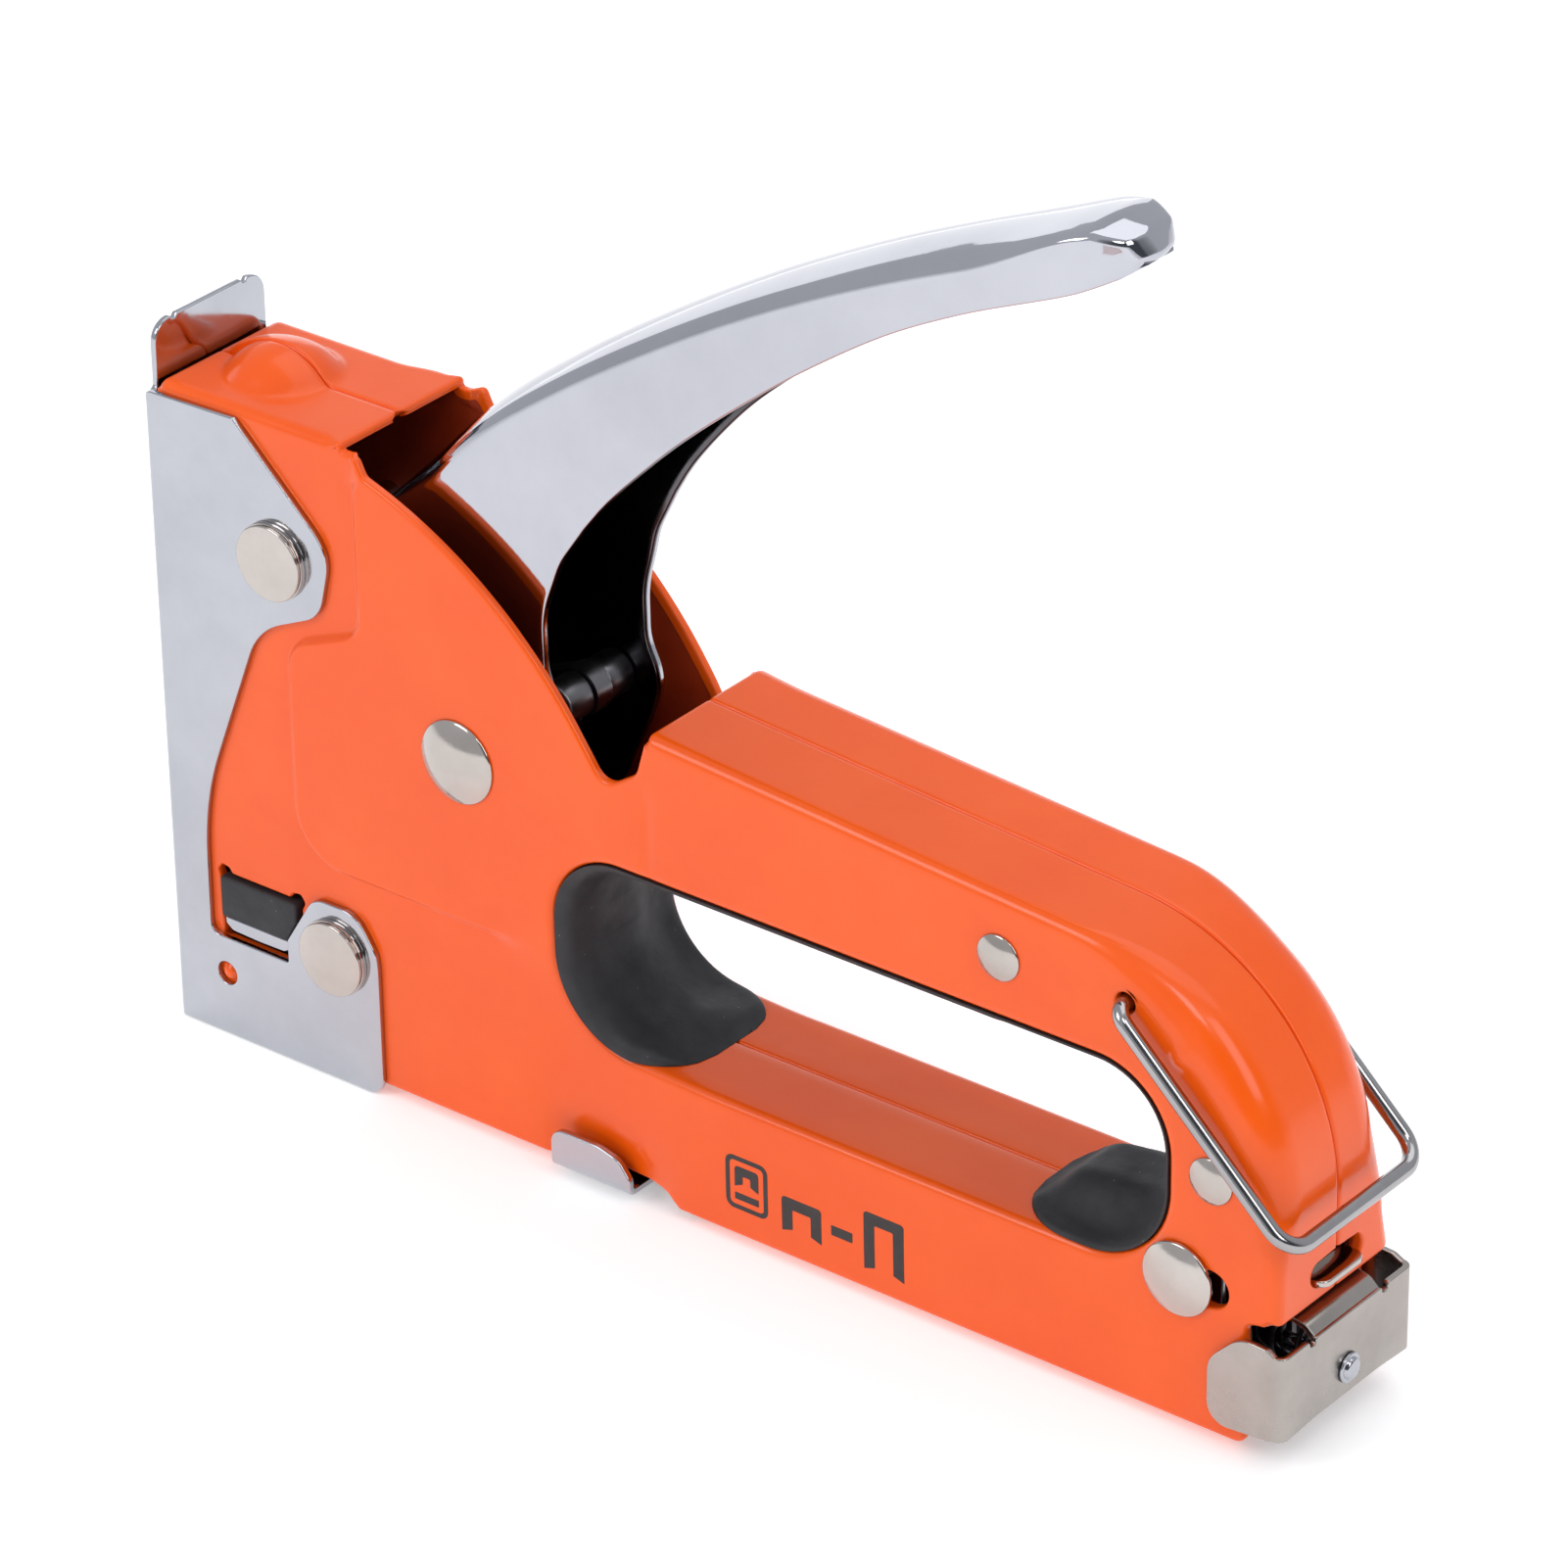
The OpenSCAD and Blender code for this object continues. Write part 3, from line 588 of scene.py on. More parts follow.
    prof = [lip(lip_r + 0.35, 0)] + [lip(lip_r * (1 - math.sin(t)), lip_r * (1 - math.cos(t)))
                                      for t in np.linspace(0, math.pi / 2, 7)]
    deep = hole_w - SEAM
    prof += [lip(0, lip_r + (deep - 0.4 - lip_r) * k / 6, False) for k in range(1, 7)]
    prof += [lip(0.4 * (1 - math.cos(t)), deep - 0.4 + 0.4 * math.sin(t), False)
             for t in (0.5, 1.0, math.pi / 2)]
    prof += [lip(SHEET, deep, False), lip(SHEET, SHEET + 0.3), lip(SHEET + 0.3, SHEET)]
    # The inner bands of the lip take the darker enamel: painted shade.
    mesh.loft(prof, m=[0] * (len(prof) - 3) + [1] * 2)

    # holes with a plain sheet edge
    plain = [WINDOW, SLOT, circle(*BAIL_AT, 1.25)]
    out_holes, in_holes = [HOLE.ring(-lip_r - 0.35)], [HOLE.ring(-SHEET - 0.3)]
    for o in plain:
        e = 0.35
        pr = [(e + 0.25, 0)] + [(a, b) for a, b in round_profile(e, 5)] + [(0, SHEET)]
        mesh.loft([np.column_stack([o.ring(-d)[:, 0], side * (wide(o.ring(-d)) - h), o.ring(-d)[:, 1]])
                   for d, h in pr])
        out_holes.append(o.ring(-e - 0.25))
        in_holes.append(o.ring(0))

    # side wall, outside and inside, with lines along the edge of the raised panel
    lines = []
    keep_in = BODY.ring(2.4)
    bars = [HOLE.ring(-2.0), WINDOW.ring(-1.0)]
    for d in (-0.7, -0.5, -0.32, -0.12, 0.12, 0.32, 0.5, 0.7):
        path = PANEL.ring(d)
        ok = inside(path, keep_in) & ~inside(path, bars[0]) & ~inside(path, bars[1])
        ok &= (path[:, 0] < 60) | (path[:, 1] > 30)
        run = []
        for p, good in zip(path, ok):
            if good and (not run or np.linalg.norm(p - run[-1]) < 4):
                run.append(p)
            else:
                lines.append(run)
                run = [p] if good else []
        lines.append(run)
    gx, gz = np.meshgrid(np.arange(3, 158, 2.6), np.arange(3, 84, 2.6))
    dots = np.column_stack([gx.ravel(), gz.ravel()])
    fine = [(145.2, 46.6, 2.2, 0.35), (7.7, 8.3, 2.0, 0.3), (72.6, 49.0, 6.5, 0.45)]
    for cx, cz, rad, st in fine:
        a, b = np.meshgrid(np.arange(cx - rad, cx + rad, st), np.arange(cz - rad, cz + rad, st))
        d2 = np.column_stack([a.ravel(), b.ravel()])
        if cx == 72.6:
            d2 = d2[np.abs(d2[:, 0] - cx) < 2.2]
        dots = np.vstack([dots, d2])
    clear = inside(dots, keep_in) & inside(dots, outer_loop)
    clear &= distance(dots, outer_loop, True) > 0.5
    for h in out_holes:
        clear &= ~inside(dots, h) & (distance(dots, h, True) > 0.4)
    clear &= (distance(dots, PANEL_RING, True) > 1.2) | (dots[:, 0] > 62)
    dots = dots[clear]
    mesh.fill(outer_loop, out_holes, lines, dots,
              lambda p: np.column_stack([p[:, 0], side * wide(p), p[:, 1]]))
    coarse = dots[::3]
    # The inner face takes the darker enamel (index 1): painted shade.
    mesh.fill(inner_loop, in_holes, [], coarse,
              lambda p: np.column_stack([p[:, 0], side * (wide(p) - SHEET), p[:, 1]]), 1)
    mesh.finish(name, [MAT["enamel"], MAT["enamel_shaded_inside"]], "body", [name.replace("_look", "")],
                angle=50)


shell("left_shell_look", -1)
shell("right_shell_look", 1)

# ---------------------------------------------------------------- nose plate

def bent(half, radius, wall, forward):
    """Maps a flat sheet (s, z) to a wall at x = wall with a wing at each end, running to +x (forward 1) or
    -x (forward -1). half is the outer half width and radius the outer bend radius."""
    a, arc = half - radius, radius * math.pi / 2

    def place(p, h):
        s, sign = np.abs(p[:, 0]), np.sign(p[:, 0])
        t = np.clip((s - a) / radius, 0, math.pi / 2)
        run = np.maximum(s - a - arc, 0)
        x = radius - (radius - h) * np.cos(t) + run
        y = np.minimum(s, a) + (radius - h) * np.sin(t)
        return np.column_stack([wall + forward * x, sign * y, p[:, 1]])
    return place, a, arc


def flat_s(x, wall, forward, radius, a, arc):
    return (x - wall) * forward - radius + a + arc


def bend_lines(n_lines, a, arc, lo, hi):
    """Lines along both bends of a flat sheet, so that the bends come out round."""
    out = []
    for s in np.linspace(a, a + arc, n_lines):
        zs = np.arange(lo, hi, 1.6)
        out += [np.column_stack([np.full(len(zs), k * s), zs]) for k in (1, -1)]
    return out


def nose_plate():
    place, a, arc = bent(NOSE_HALF + 0.8, 1.0, -0.4, 1)
    f = lambda x: flat_s(x, -0.4, 1, 1.0, a, arc)
    wing = [(31.6, 0, 2.2), (31.6, 16.9, 0.3), (31.4, 19.0, 4), (28.6, 23.4, 4), (22.0, 23.4, 3),
            (17.6, 16.2, 0.4), (17.6, 13.2, 0.3), (5.4, 13.2, 1.4), (5.6, 31, 40), (15.5, 56.5, 10),
            (25.2, 61.0, 4.6), (27.2, 69.6, 5.4), (13.4, 82.7, 0.5)]
    side = [(f(x), z, r) for x, z, r in wing]
    top = [(a + arc, 82.4, 0.0, 0.15), (a, 81.6, 0.4, 0.4), (9.3, 82.2, 0.5), (9.3, 90.0, 2.6),
           (6.5, 90.0, 0.1), (6.2, 89.6, 0.25), (5.7, 89.6, 0.25), (5.4, 90.0, 0.1)]
    bottom = [(-a - arc, 0, 0, 0.15), (-a, 0, 0), (a, 0, 0, 0.15), (a + arc, 0, 0)]
    mirrored = lambda c: [(-p[0], *p[1:3]) for p in c[::-1]]
    steps = mirrored(top)
    steps[-2] = (*steps[-2][:3], 0.15)
    outline = Outline(bottom + side + top + steps + mirrored(side), 2.5)
    hole = [circle(k * f(7.7), 8.3, 1.5) for k in (1, -1)]
    gx, gz = np.meshgrid(np.arange(-40, 41, 4.0), np.arange(2, 82, 4.0))
    dots = np.column_stack([gx.ravel(), gz.ravel()])
    dots = dots[inside(dots, outline.ring(1.0)) & (np.abs(np.abs(dots[:, 0]) - a - arc / 2) > arc)]
    for h in hole:
        dots = dots[distance(dots, h.ring(0), True) > 1.0]
    mesh = Mesh()
    slab(mesh, outline, 0, 0.8, 0.16, place, hole, lines=bend_lines(9, a, arc, 0.3, 81.3), dots=dots)
    mesh.finish("nose_plate_look", MAT["zinc"], "body", ["nose_plate"], angle=60)


nose_plate()

# ---------------------------------------------------------------- rivets and pins

def cap_curve(r, h0, h1, n=10):
    """Points of a low dome from its rim (r, h0) to its crown (0, h1)."""
    rise = h1 - h0
    ball = (r * r + rise * rise) / (2 * rise)
    return [(q, h0 + math.sqrt(max(ball * ball - q * q, 0)) - (ball - rise)) for q in np.linspace(r, 0, n)]


def headed(name, node, places, shaft, head, foot, far_foot, body):
    """Rivets right through the body: a shaft, and the same turned head at both ends."""
    mesh = Mesh()
    for x, z in places:
        lathe(mesh, head, (x, -foot, z), "y", -1, 72)
        lathe(mesh, head, (x, far_foot, z), "y", 1, 72)
        lathe(mesh, [(shaft, -foot), (shaft, 0), (shaft, far_foot)], (x, 0, z), "y", 1, 32)
    mesh.finish(name, MAT["nickel"], body, [node], angle=45)


headed("nose_rivets_look", "nose_rivets", [(18.7, 66.4), (25.2, 16.8)], 2.0,
       [(3.5, 0), (4.70, 0), (4.77, 0.04), (4.8, 0.12), (4.8, 0.56), (4.76, 0.66), (4.66, 0.70), (4.50, 0.71),
        (4.47, 0.78), (4.50, 0.84), (4.62, 0.86), (4.68, 0.92), (4.68, 1.10), (4.64, 1.19), (4.54, 1.24)]
       + cap_curve(4.4, 1.26, 1.49), NOSE_HALF + 0.8, NOSE_HALF + 0.8, "body")
headed("pivot_rivet_look", "pivot_rivet", [(45.3, 49.2)], 3.0,
       [(4.0, 0), (5.08, 0), (5.18, 0.06), (5.2, 0.16), (5.14, 0.28), (5.05, 0.36)]
       + cap_curve(4.95, 0.42, 1.78, 14), HALF, HALF, "body")
headed("grip_rivets_look", "grip_rivets", [(121.3, 50.6), (149.4, 33.1)], 2.0,
       [(2.2, 0), (2.70, 0), (2.79, 0.05), (2.8, 0.14), (2.75, 0.24)] + cap_curve(2.66, 0.30, 0.98), HALF,
       HALF - SLIM, "body")
headed("magazine_pin_look", "magazine_pin", [(145.4, 19.5)], 2.0,
       [(3.0, 0), (4.38, 0), (4.48, 0.06), (4.5, 0.16), (4.5, 0.36), (4.44, 0.48), (4.34, 0.54)]
       + cap_curve(4.25, 0.58, 1.56, 12), HALF + 0.1, HALF + 0.1, "magazine")


def small_turned():
    mesh = Mesh()
    for side in (-1, 1):
        lathe(mesh, [(1.5, 1.32), (2.3, 1.32), (2.62, 1.5), (2.7, 1.75), (2.7, 5.3), (2.6, 5.55),
                     (2.3, 5.68), (1.5, 5.68)], (55.0, 0, 57.0), "y", side, 40)
    mesh.finish("lever_sleeves_look", MAT["steel"], "lever", ["lever_sleeves"], angle=50)
    mesh = Mesh()
    lathe(mesh, [(0, 0), (1.7, 0), (2.1, 0.2), (2.2, 0.5), (2.1, 0.9), (1.4, 1.2), (1.25, 1.3),
                 (1.25, 155.4), (1.25, 155.45)], (4.6, 0, 8.0), "x", 1, 28)
    lathe(mesh, [(0.9, 0), (1.70, 0), (1.80, 0.08), (1.80, 0.26), (1.72, 0.36), (1.5, 0.40), (1.38, 0.38),
                 (1.32, 0.44), (1.26, 0.66), (1.10, 0.80), (0.8, 0.87), (0.4, 0.89), (0, 0.9)],
          (160.0, 0, 8.0), "x", 1, 40)
    mesh.finish("guide_rod_look", MAT["zinc"], "pusher", ["guide_rod"], angle=45)


small_turned()

# ---------------------------------------------------------------- springs and bail

def springs():
    mesh = Mesh()
    tube(mesh, helix((11.2, 0, 25.9), "z", 55.8, 4.3, 9.5, 28), 0.8, 12)
    o = mesh.finish("main_spring_look", MAT["zinc"], "body", ["main_spring"])
    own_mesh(o)
    mesh = Mesh()
    tube(mesh, helix((8.9, 0, 8.0), "x", 149.8, 2.3, 46, 20), 0.3, 8)
    o = mesh.finish("feed_spring_look", MAT["spring"], "pusher", ["feed_spring"])
    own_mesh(o)
    mesh = Mesh()
    tube(mesh, helix((45.3, 1.85, 49.2), "y", 3.3, 4.3, 3, 32, 0.6), 0.4, 10)
    mesh.finish("lever_spring_look", MAT["spring"], "body", ["lever_spring"])


springs()


def divided(points, step):
    """The same polyline with its long stretches divided."""
    p = np.array(points, float)
    out = [p[0]]
    for a, b in zip(p[:-1], p[1:]):
        k = max(1, math.ceil(np.linalg.norm(b - a) / step))
        out += [a + (b - a) * j / k for j in range(1, k + 1)]
    return np.array(out)


def bail():
    w, length, turn = 12.9, 31.6, 3.4
    flat = [(0, -8.8), (0, -w + 1.9)]
    flat += [(1.9 - 1.9 * math.cos(t), -w + 1.9 - 1.9 * math.sin(t))
             for t in np.linspace(0, math.pi / 2, 9)[1:]]
    flat += [(length - turn, -w)]
    flat += [(length - turn + turn * math.sin(t), -w + turn - turn * math.cos(t))
             for t in np.linspace(0, math.pi / 2, 13)[1:]]
    flat += [(length, 0)]
    half = divided(flat, 0.9)
    pts = np.vstack([half, (half * (1, -0.9))[::-1][1:]])
    a = math.radians(43.5)
    p = np.column_stack([137.9 + pts[:, 0] * math.cos(a), pts[:, 1], 50.8 - pts[:, 0] * math.sin(a)])
    mesh = Mesh()
    tube(mesh, p, 0.95, 20)
    mesh.finish("bail_look", MAT["wire"], "bail", ["bail"])


bail()

# ---------------------------------------------------------------- bumper

def bumper():
    mesh = Mesh()
    o = Outline([(7.0, 15.72, 0.3), (17.2, 15.72, 0.4), (18.9, 18.7, 0.6), (18.9, 21.2, 0.5),
                 (7.0, 21.2, 0.5)], 1.5)
    slab(mesh, o, -10.8, 10.8, 0.4, xz(), n=5)
    mesh.finish("bumper_look", MAT["rubber"], "body", ["bumper"])
    mesh = Mesh()
    o = Outline([(8.4, 14.0, 1.0), (12.5, 13.86, 20), (16.4, 13.95, 0.8), (17.4, 14.5, 0.4),
                 (17.4, 15.68, 0.15), (7.35, 15.68, 0.15), (7.35, 14.8, 0.5)], 1.0)
    slab(mesh, o, -10.5, 10.5, 0.22, xz(), n=5)
    mesh.finish("bumper_plate_look", MAT["zinc"], "body", ["bumper_plate"])


bumper()

# ---------------------------------------------------------------- end cap and latch

def end_cap():
    mesh = Mesh()
    place, a, arc = bent(12.3, 1.3, 160.0, -1)
    f = lambda x: flat_s(x, 160.0, -1, 1.3, a, arc)
    wing = [(f(158.4), 4.15, 3.0), (f(150.0), 3.5, 2.6), (f(150.0), 11.6, 3.5), (f(154.2), 15.8, 4),
            (f(157.6), 15.6, 1.0)]
    top = [(a + arc, 15.0, 0.0, 0.15), (a, 15.0, 0), (7.4, 15.0, 0.4), (7.2, 14.2, 0.35), (6.3, 14.2, 0.35),
           (6.1, 15.0, 0.3)]
    mirrored = lambda c: [(-p[0], *p[1:3]) for p in c[::-1]]
    back = mirrored(top)
    back[-2] = (*back[-2][:3], 0.15)
    bottom = [(-a - arc, 4.3, 0, 0.15), (-a, 4.4, 0), (-6, 4.75, 12), (6, 4.75, 12), (a, 4.4, 0, 0.15),
              (a + arc, 4.3, 0)]
    outline = Outline(bottom + wing + top + back + mirrored(wing), 1.5)
    slab(mesh, outline, 0, 0.8, 0.16, place, [circle(0, 8.0, 1.3)], lines=bend_lines(9, a, arc, 5.0, 14.6))
    tongue = Outline([(159.9, 13.6, 0.1), (159.9, 14.7, 0.9), (158.5, 16.0, 1.6), (156.4, 16.45, 3),
                      (153.6, 16.6, 0.2), (153.6, 15.9, 0.2), (156.4, 15.7, 3), (158.2, 15.2, 0.9),
                      (159.15, 14.3, 0.6), (159.15, 13.6, 0.1)], 0.6)
    slab(mesh, tongue, -6.1, 6.1, 0.16, xz())
    mesh.finish("end_cap_look", MAT["satin"], "pusher", ["end_cap"], angle=60)
    mesh = Mesh()
    yz = lambda x0: lambda p, h: np.column_stack([np.full(len(p), x0 + h), p[:, 0], p[:, 1]])
    xy = lambda p, h: np.column_stack([p[:, 1], p[:, 0], np.full(len(p), 19.5 + h)])
    slab(mesh, Outline([(-4.2, 18.8, 0.5), (4.2, 18.8, 0.5), (4.2, 30.9, 1.0), (-4.2, 30.9, 1.0)]), 0, 0.7,
         0.12, yz(155.6))
    slab(mesh, Outline([(-4.0, 155.7, 0), (4.0, 155.7, 0), (4.0, 159.4, 1.4), (-4.0, 159.4, 1.4)]), 0, 0.8,
         0.2, xy)
    mesh.finish("latch_spring_look", MAT["nickel"], "body", ["latch_spring"], angle=50)


end_cap()

# ---------------------------------------------------------------- magazine

def magazine():
    mesh = Mesh()
    w, t = 7.3, 0.9
    channel = Outline([(-w, 1.2, 0.1), (-w + t, 1.2, 0.1), (-w + t, 13.2 - t, 0.4), (w - t, 13.2 - t, 0.4),
                       (w - t, 1.2, 0.1), (w, 1.2, 0.1), (w, 13.2, 1.1), (-w, 13.2, 1.1)])
    slab(mesh, channel, 4.2, 151, 0.12, lambda p, h: np.column_stack([np.full(len(p), h), p[:, 0], p[:, 1]]))
    ear = Outline([(142.5, 12.3, 0), (148.3, 12.3, 0), (148.3, 22.35, 2.85), (142.5, 22.35, 2.85)], 2)
    for side in (-1, 1):
        slab(mesh, ear, w - t, w, 0.12, xz(lambda h: side * h))
        r, run = 1.1, 12.3 - 1.1 - 6.6
        arc = r * math.pi / 2

        def place(p, h):
            s = p[:, 1]
            a = np.clip((s - run) / r, 0, math.pi / 2)
            y = 6.6 + np.minimum(s, run) + (r - h) * np.sin(a)
            z = 1.2 + r - (r - h) * np.cos(a) + np.maximum(s - run - arc, 0)
            return np.column_stack([p[:, 0], side * y, z])

        up = lambda z: run + arc + z - 2.3
        lug = Outline([(58.2, 0, 0.1), (69.8, 0, 0.1, 3), (69.8, run, 0, 0.15), (69.8, run + arc, 0),
                       (69.8, up(3.4), 1.4), (68.2, up(5.6), 2.6), (65.2, up(6.4), 5), (58.2, up(6.4), 1.9),
                       (58.2, run + arc, 0, 0.15), (58.2, run, 0)], 1.5)
        bend = [np.column_stack([np.arange(58.6, 69.5, 1.0), np.full(11, s)])
                for s in np.linspace(run, run + arc, 8)]
        slab(mesh, lug, 0, t, 0.2, place, lines=bend)
    mesh.finish("magazine_channel_look", MAT["zinc"], "magazine", ["magazine_channel"],
                angle=50)


magazine()

# ---------------------------------------------------------------- lever

ROOF = smooth_line([(29.0, 73.6), (33, 78.2), (45, 90.6), (57, 99.9), (71, 109.1), (84.5, 117.0),
                    (98, 123.9), (111, 129.7), (123, 134.4), (128.8, 136.0)], 1.6)
EDGE = smooth_line([(61.4, 81.7), (64.9, 86.0), (70.6, 91.8), (76.2, 97.0), (84.0, 103.4), (92.7, 110.0),
                    (103.2, 117.0), (113, 122.2), (121.4, 125.9), (127.4, 128.4), (131.6, 130.6)], 1.6)
LEVER = Outline([(47, 36.6, 9), (55.4, 42.6, 8), (58.2, 49.5, 12), (57.4, 56.5, 10), (55.0, 61.5, 8),
                 (54.9, 69.0, 14), (57.6, 76.2, 12)] + [(x, z, 0) for x, z in EDGE]
                + [(134.2, 132.4, 1.0), (132.7, 135.3, 1.6)] + [(x, z, 0) for x, z in ROOF[::-1]]
                + [(31.4, 69.0, 3, 1.0), (36.1, 61.2, 20), (37.1, 46.2, 7)], 1.6)


def lever():
    """A pressed sheet: two cheeks under a crowned roof, closed to a drooping bill at the tip."""
    half, sheet, crown, shoulder, shoulder_r, break_angle = 7.0, 1.3, 1.3, 5.7, 3.1, math.radians(36)
    base = LEVER.ring()
    x, z = base[:, 0], base[:, 1]
    roof = (distance(base, ROOF) < 0.05) | ((x > 128) & (z > 131.5))
    index, cut = square_ends(roof)
    on = roof[index] & ~cut
    tight = (1 - 0.66 * smoothstep(112, 128, x[index])) * (1 - 0.65 * smoothstep(38, 31, x[index]))
    # each profile runs from the cheek, over the edge, to the inside:
    # (inward distance, depth below the cheek)
    full = [(crown + shoulder_r * (math.cos(break_angle) - math.cos(t)), shoulder_r * (1 - math.sin(t)))
            for t in np.linspace(math.pi / 2, break_angle, 9)]
    full += [(crown * (y / shoulder) ** 2, half - y) for y in np.linspace(shoulder, 0, 10)[1:]]
    raw = round_profile(0.35, 9) + [(0, 0.35 + (sheet / 2 - 0.35) * k / 9) for k in range(1, 10)]
    full_in = [(sheet, half), (crown * 0.25 + sheet, half - 2.9), (crown + sheet, half - shoulder + 0.7),
               (crown + sheet + 1.2, sheet + 0.15), (crown + sheet + 2.6, sheet)]
    raw_in = [(0, sheet * 0.6), (0, sheet * 0.8), (0.1, sheet - 0.1), (0.3, sheet), (0.9, sheet)]
    over = [(full[0][0] + 0.5, 0)] + full + full_in
    edge = [(0.65, 0)] + raw + raw_in
    rings = []
    for (d1, h1), (d2, h2) in zip(over, edge):
        d = np.where(on | cut, d1 * tight, d2)
        h = np.where(on, h1, np.where(cut, min(h1, sheet), h2))
        rings.append((LEVER.at(d, index), h))

    def place(p, h, side):
        # w narrows the bill; the far cheek runs deeper behind the roof
        w = np.sqrt(np.clip(1 - (np.clip(p[:, 0] - 121.5, 0, None) / 13.1) ** 2, 0.01, 1))
        deeper = 4.4 * smoothstep(100, 66, p[:, 1]) * smoothstep(46, 60, p[:, 1])
        deeper *= smoothstep(48, 56, p[:, 0]) * smoothstep(5.5, 11, distance(p, ROOF))
        return np.column_stack([p[:, 0] + (deeper if side > 0 else 0), side * (half - h) * w, p[:, 1]])

    mesh = Mesh()
    # Inner bands and the inner face (index 1) take the darker chrome: painted shade.
    bands = [0] * (len(full) + 1) + [1] * (len(full_in) - 1)
    for side in (-1, 1):
        mesh.loft([place(p, h, side) for p, h in rings], m=bands)
        dots = np.array([(a, b) for a in np.arange(30, 119, 2.0) for b in np.arange(36, 136, 2.0)]
                        + [(a, b) for a in np.arange(119, 134, 0.9) for b in np.arange(124, 136, 0.9)])
        hole = circle(45.3, 49.2, 3.05).ring(0)
        for (loop, _), depth, m in ((rings[0], 0, 0), (rings[-1], sheet, 1)):
            keep = dots[inside(dots, loop) & ~inside(dots, hole)]
            keep = keep[(distance(keep, loop, True) > 0.7) & (distance(keep, hole, True) > 0.7)]
            mesh.fill(loop, [hole], (), keep, lambda p: place(p, np.full(len(p), float(depth)), side), m)
        mesh.loft([place(hole, np.full(len(hole), d), side) for d in (0.0, sheet)])
    mesh.finish("lever_look", [MAT["chrome"], MAT["inside"]], "lever", ["lever"], angle=55,
                joined=True)


lever()

# ---------------------------------------------------------------- rubber liner

def liner():
    ring = HOLE_FINE.ring(0.04)
    space = Outline([(61.4, 21.6, 9.5), (72.6, 20.6, 3), (75.4, 16, 0), (121.6, 16, 0), (125.6, 22.4, 3),
                     (142.4, 24.6, 8), (142.4, 41.9, 8.4), (61.4, 41.9, 8.4)], 1.0).ring()
    start = int(np.argmin(np.abs(ring[:, 0] - 121.2) + 10 * (ring[:, 1] > 19)))
    ring = np.roll(ring, -start, 0)
    ring = ring[:int(np.argmin(np.abs(ring[:, 0] - 75.8) + 10 * (ring[:, 1] > 19))) + 1]
    tangent = np.gradient(ring, axis=0)
    tangent /= np.linalg.norm(tangent, axis=1)[:, None]
    normal = np.column_stack([-tangent[:, 1], tangent[:, 0]])
    a, b = space, np.roll(space, -1, 0)
    thick = []
    for p, m in zip(ring, normal):
        e = b - a
        det = m[0] * -e[:, 1] + e[:, 0] * m[1]
        det = np.where(np.abs(det) < 1e-9, 1e-9, det)
        q = a - p
        t = (q[:, 0] * -e[:, 1] + e[:, 0] * q[:, 1]) / det
        u = (m[0] * q[:, 1] - m[1] * q[:, 0]) / det
        good = t[(u >= 0) & (u <= 1) & (t > 0)]
        thick.append(min(good) if len(good) else 0)
    thick = np.where(inside(ring, space), 0, thick)
    kernel = np.ones(7) / 7
    thick = np.convolve(np.pad(thick, 3, "edge"), kernel, "valid")
    s = np.concatenate([[0], np.cumsum(np.linalg.norm(np.diff(ring, axis=0), axis=1))])
    e0, e1 = s, s[-1] - s
    near = lambda e, k: np.sqrt(np.clip(1 - (1 - np.clip(e / k, 0, 1)) ** 2, 0, 1))
    body_t = np.maximum(thick, 0.2) * near(e0, 3.2) * near(e1, 2.6)
    rear = smoothstep(120, 122, ring[:, 0])
    width = 10.85 * (0.25 + 0.75 * near(e0, 9.0)) * (0.35 + 0.65 * near(e1, 8.0))
    thin = np.minimum(body_t, 0.8)
    rings = []
    for t in np.sin(np.linspace(-math.pi / 2, math.pi / 2, 37)):
        # the rear pad is a bulge down the middle; the front pad falls away towards the right side
        middle = 1 - smoothstep(0.30, 0.86, abs(t))
        front = 1 - 0.4 * smoothstep(0.6, 1.0, -t) - smoothstep(-0.15, 0.75, t)
        crown = rear * middle + (1 - rear) * front
        edge = (1 - abs(t) ** 18) ** 0.5
        p = ring + normal * ((thin + (body_t - thin) * crown) * edge)[:, None]
        rings.append(np.column_stack([p[:, 0], width * t * (1 if t < 0 else 0.88), p[:, 1]]))
    for t in np.linspace(0.88, -1, 7):
        rings.append(np.column_stack([ring[:, 0], width * t, ring[:, 1]]))
    mesh = Mesh()
    mesh.loft(rings + [rings[0]], closed=False)
    mesh.finish("grip_liner_look", MAT["rubber"], "body", ["grip_liner"], angle=70)


liner()

# ---------------------------------------------------------------- printed mark, with no lettering

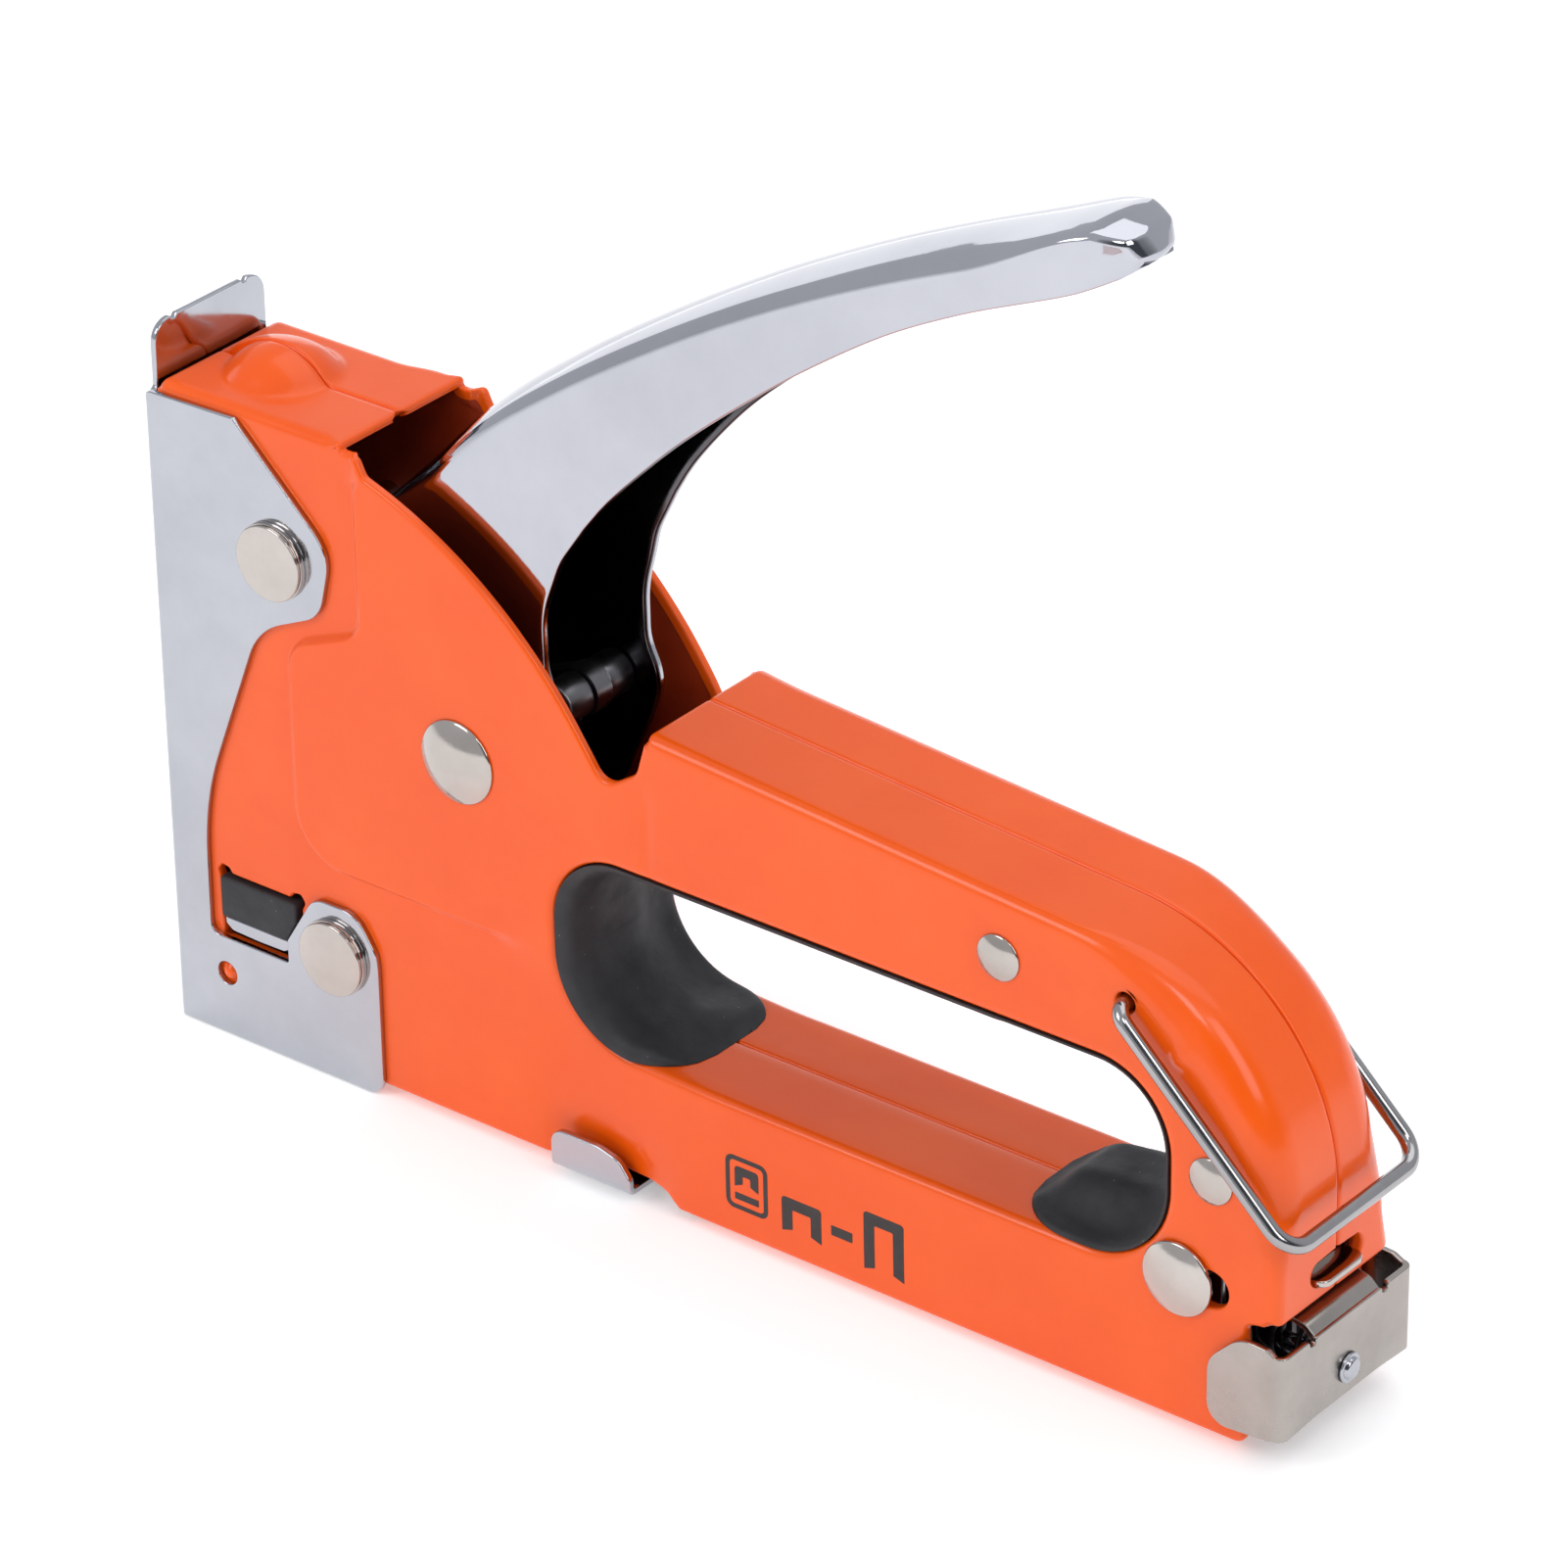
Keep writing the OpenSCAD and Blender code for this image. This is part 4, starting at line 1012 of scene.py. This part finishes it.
def mark():
    mesh = Mesh()

    def place(p, h):
        return np.column_stack([p[:, 0], -(half_width(p) + 0.03 - h), p[:, 1]])

    def box(x0, z0, x1, z1, r=0.1):
        return Outline([(x0, z0, r), (x1, z0, r), (x1, z1, r), (x0, z1, r)])

    def staple(x, z, w, leg, t=0.75):
        return Outline([(x, z, 0.05), (x + t, z + 0.5, 0.05), (x + t, z + leg - t, 0.2),
                        (x + w - t, z + leg - t, 0.2), (x + w - t, z + 0.5, 0.05), (x + w, z, 0.05),
                        (x + w, z + leg, 0.5), (x, z + leg, 0.5)])

    slab(mesh, box(83.0, 4.9, 89.0, 11.9, 1.1), 0, 0.04, 0.01, place, [box(83.6, 5.5, 88.4, 11.3, 0.6)], n=2)
    slab(mesh, staple(84.3, 7.9, 3.4, 2.7, 1.15), 0, 0.04, 0.01, place, n=2)
    slab(mesh, box(84.3, 6.2, 87.7, 7.1), 0, 0.04, 0.01, place, n=2)
    slab(mesh, staple(91.0, 4.6, 5.6, 4.6, 1.5), 0, 0.04, 0.01, place, n=2)
    slab(mesh, box(98.0, 6.6, 101.0, 7.9), 0, 0.04, 0.01, place, n=2)
    slab(mesh, staple(102.6, 4.0, 5.6, 7.6, 1.5), 0, 0.04, 0.01, place, n=2)
    mesh.finish("printed_mark", MAT["ink"], "body")


mark()

# ---------------------------------------------------------------- inner CAD parts keep their shape

for name, kind in {"striker": "steel", "driver_blade": "zinc", "staple_rail": "steel", "follower": "zinc",
                   "spacer_sleeves": "steel", "lever_pin": "steel", "lifter": "steel"}.items():
    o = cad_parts[name]
    o.data.materials.clear()
    o.data.materials.append(MAT[kind])

# ---------------------------------------------------------------- camera, light, floor

scene = bpy.context.scene
AZ, EL, ROLL = (math.radians(a) for a in (38.84, 29.06, -0.92))
right = Vector((math.cos(AZ), math.sin(AZ), 0))
up = Vector((-math.sin(AZ) * math.sin(EL), math.cos(AZ) * math.sin(EL), math.cos(EL)))
back_dir = Vector((math.sin(AZ) * math.cos(EL), -math.cos(AZ) * math.cos(EL), math.sin(EL)))
r2 = right * math.cos(ROLL) + up * math.sin(ROLL)
u2 = up * math.cos(ROLL) - right * math.sin(ROLL)
cam_data = bpy.data.cameras.new("camera")
cam = bpy.data.objects.new("camera", cam_data)
scene.collection.objects.link(cam)
cam.matrix_world = Matrix(((r2.x, u2.x, back_dir.x, 0.532075), (r2.y, u2.y, back_dir.y, -0.557286),
                           (r2.z, u2.z, back_dir.z, 0.451713), (0, 0, 0, 1)))
cam_data.sensor_width = 36
cam_data.lens = 170.53
cam_data.clip_start, cam_data.clip_end = 0.01, 20
scene.camera = cam
scene.view_settings.view_transform = "Standard"

world = bpy.data.worlds.new("studio")
scene.world = world
world.use_nodes = True
wt = world.node_tree
bg = next(n for n in wt.nodes if n.type == "BACKGROUND")
bg.inputs["Strength"].default_value = 0.65
direction = wt.nodes.new("ShaderNodeTexCoord").outputs["Generated"]
dot = wt.nodes.new("ShaderNodeVectorMath")
dot.operation = "DOT_PRODUCT"
dot.inputs[1].default_value = (0.893, -0.368, 0.26)
wt.links.new(direction, dot.inputs[0])
dim = wt.nodes.new("ShaderNodeValToRGB")
dim.color_ramp.elements[0].position, dim.color_ramp.elements[0].color = 0.58, (0.93, 0.95, 1.0, 1)
dim.color_ramp.elements[1].position, dim.color_ramp.elements[1].color = 0.80, (0.13, 0.14, 0.16, 1)
wt.links.new(dot.outputs["Value"], dim.inputs["Fac"])
wt.links.new(dim.outputs["Color"], bg.inputs["Color"])


MIDDLE = Vector((0.08, 0, 0.05))


def area(name, loc, size, power):
    data = bpy.data.lights.new(name, "AREA")
    data.shape, data.size, data.size_y = "RECTANGLE", size[0], size[1]
    data.energy = power
    o = bpy.data.objects.new(name, data)
    scene.collection.objects.link(o)
    o.location = loc
    o.rotation_euler = (MIDDLE - Vector(loc)).to_track_quat("-Z", "Y").to_euler()


area("key", (-0.35, -0.85, 0.75), (0.5, 0.5), 3.2)
area("front_box", (0.72, -0.62, 1.15), (0.22, 0.30), 1.6)
area("back_card", (-1.1, 0.95, 0.30), (1.3, 0.6), 1.8)
area("fill", (0.85, -0.15, 0.60), (0.35, 0.6), 2.1)
area("top", (0.15, 0.35, 1.1), (1.1, 0.85), 3.0)

bm = bmesh.new()
bmesh.ops.create_grid(bm, x_segments=24, y_segments=24, size=3.0)
floor_mesh = bpy.data.meshes.new("floor")
bm.to_mesh(floor_mesh)
bm.free()
floor = bpy.data.objects.new("floor", floor_mesh)
scene.collection.objects.link(floor)
floor.location.z = -0.0002
fl = Nodes("pale_floor")
fl.use(Base_Color=fl.ramp(fl.noise(8, 2), [(0.3, 0.93), (0.7, 0.95)]))
fl.set(Roughness=0.9, Specular_IOR_Level=0.1, Emission_Color=(1, 1, 1, 1), Emission_Strength=0.34)
floor_mesh.materials.append(fl.m)
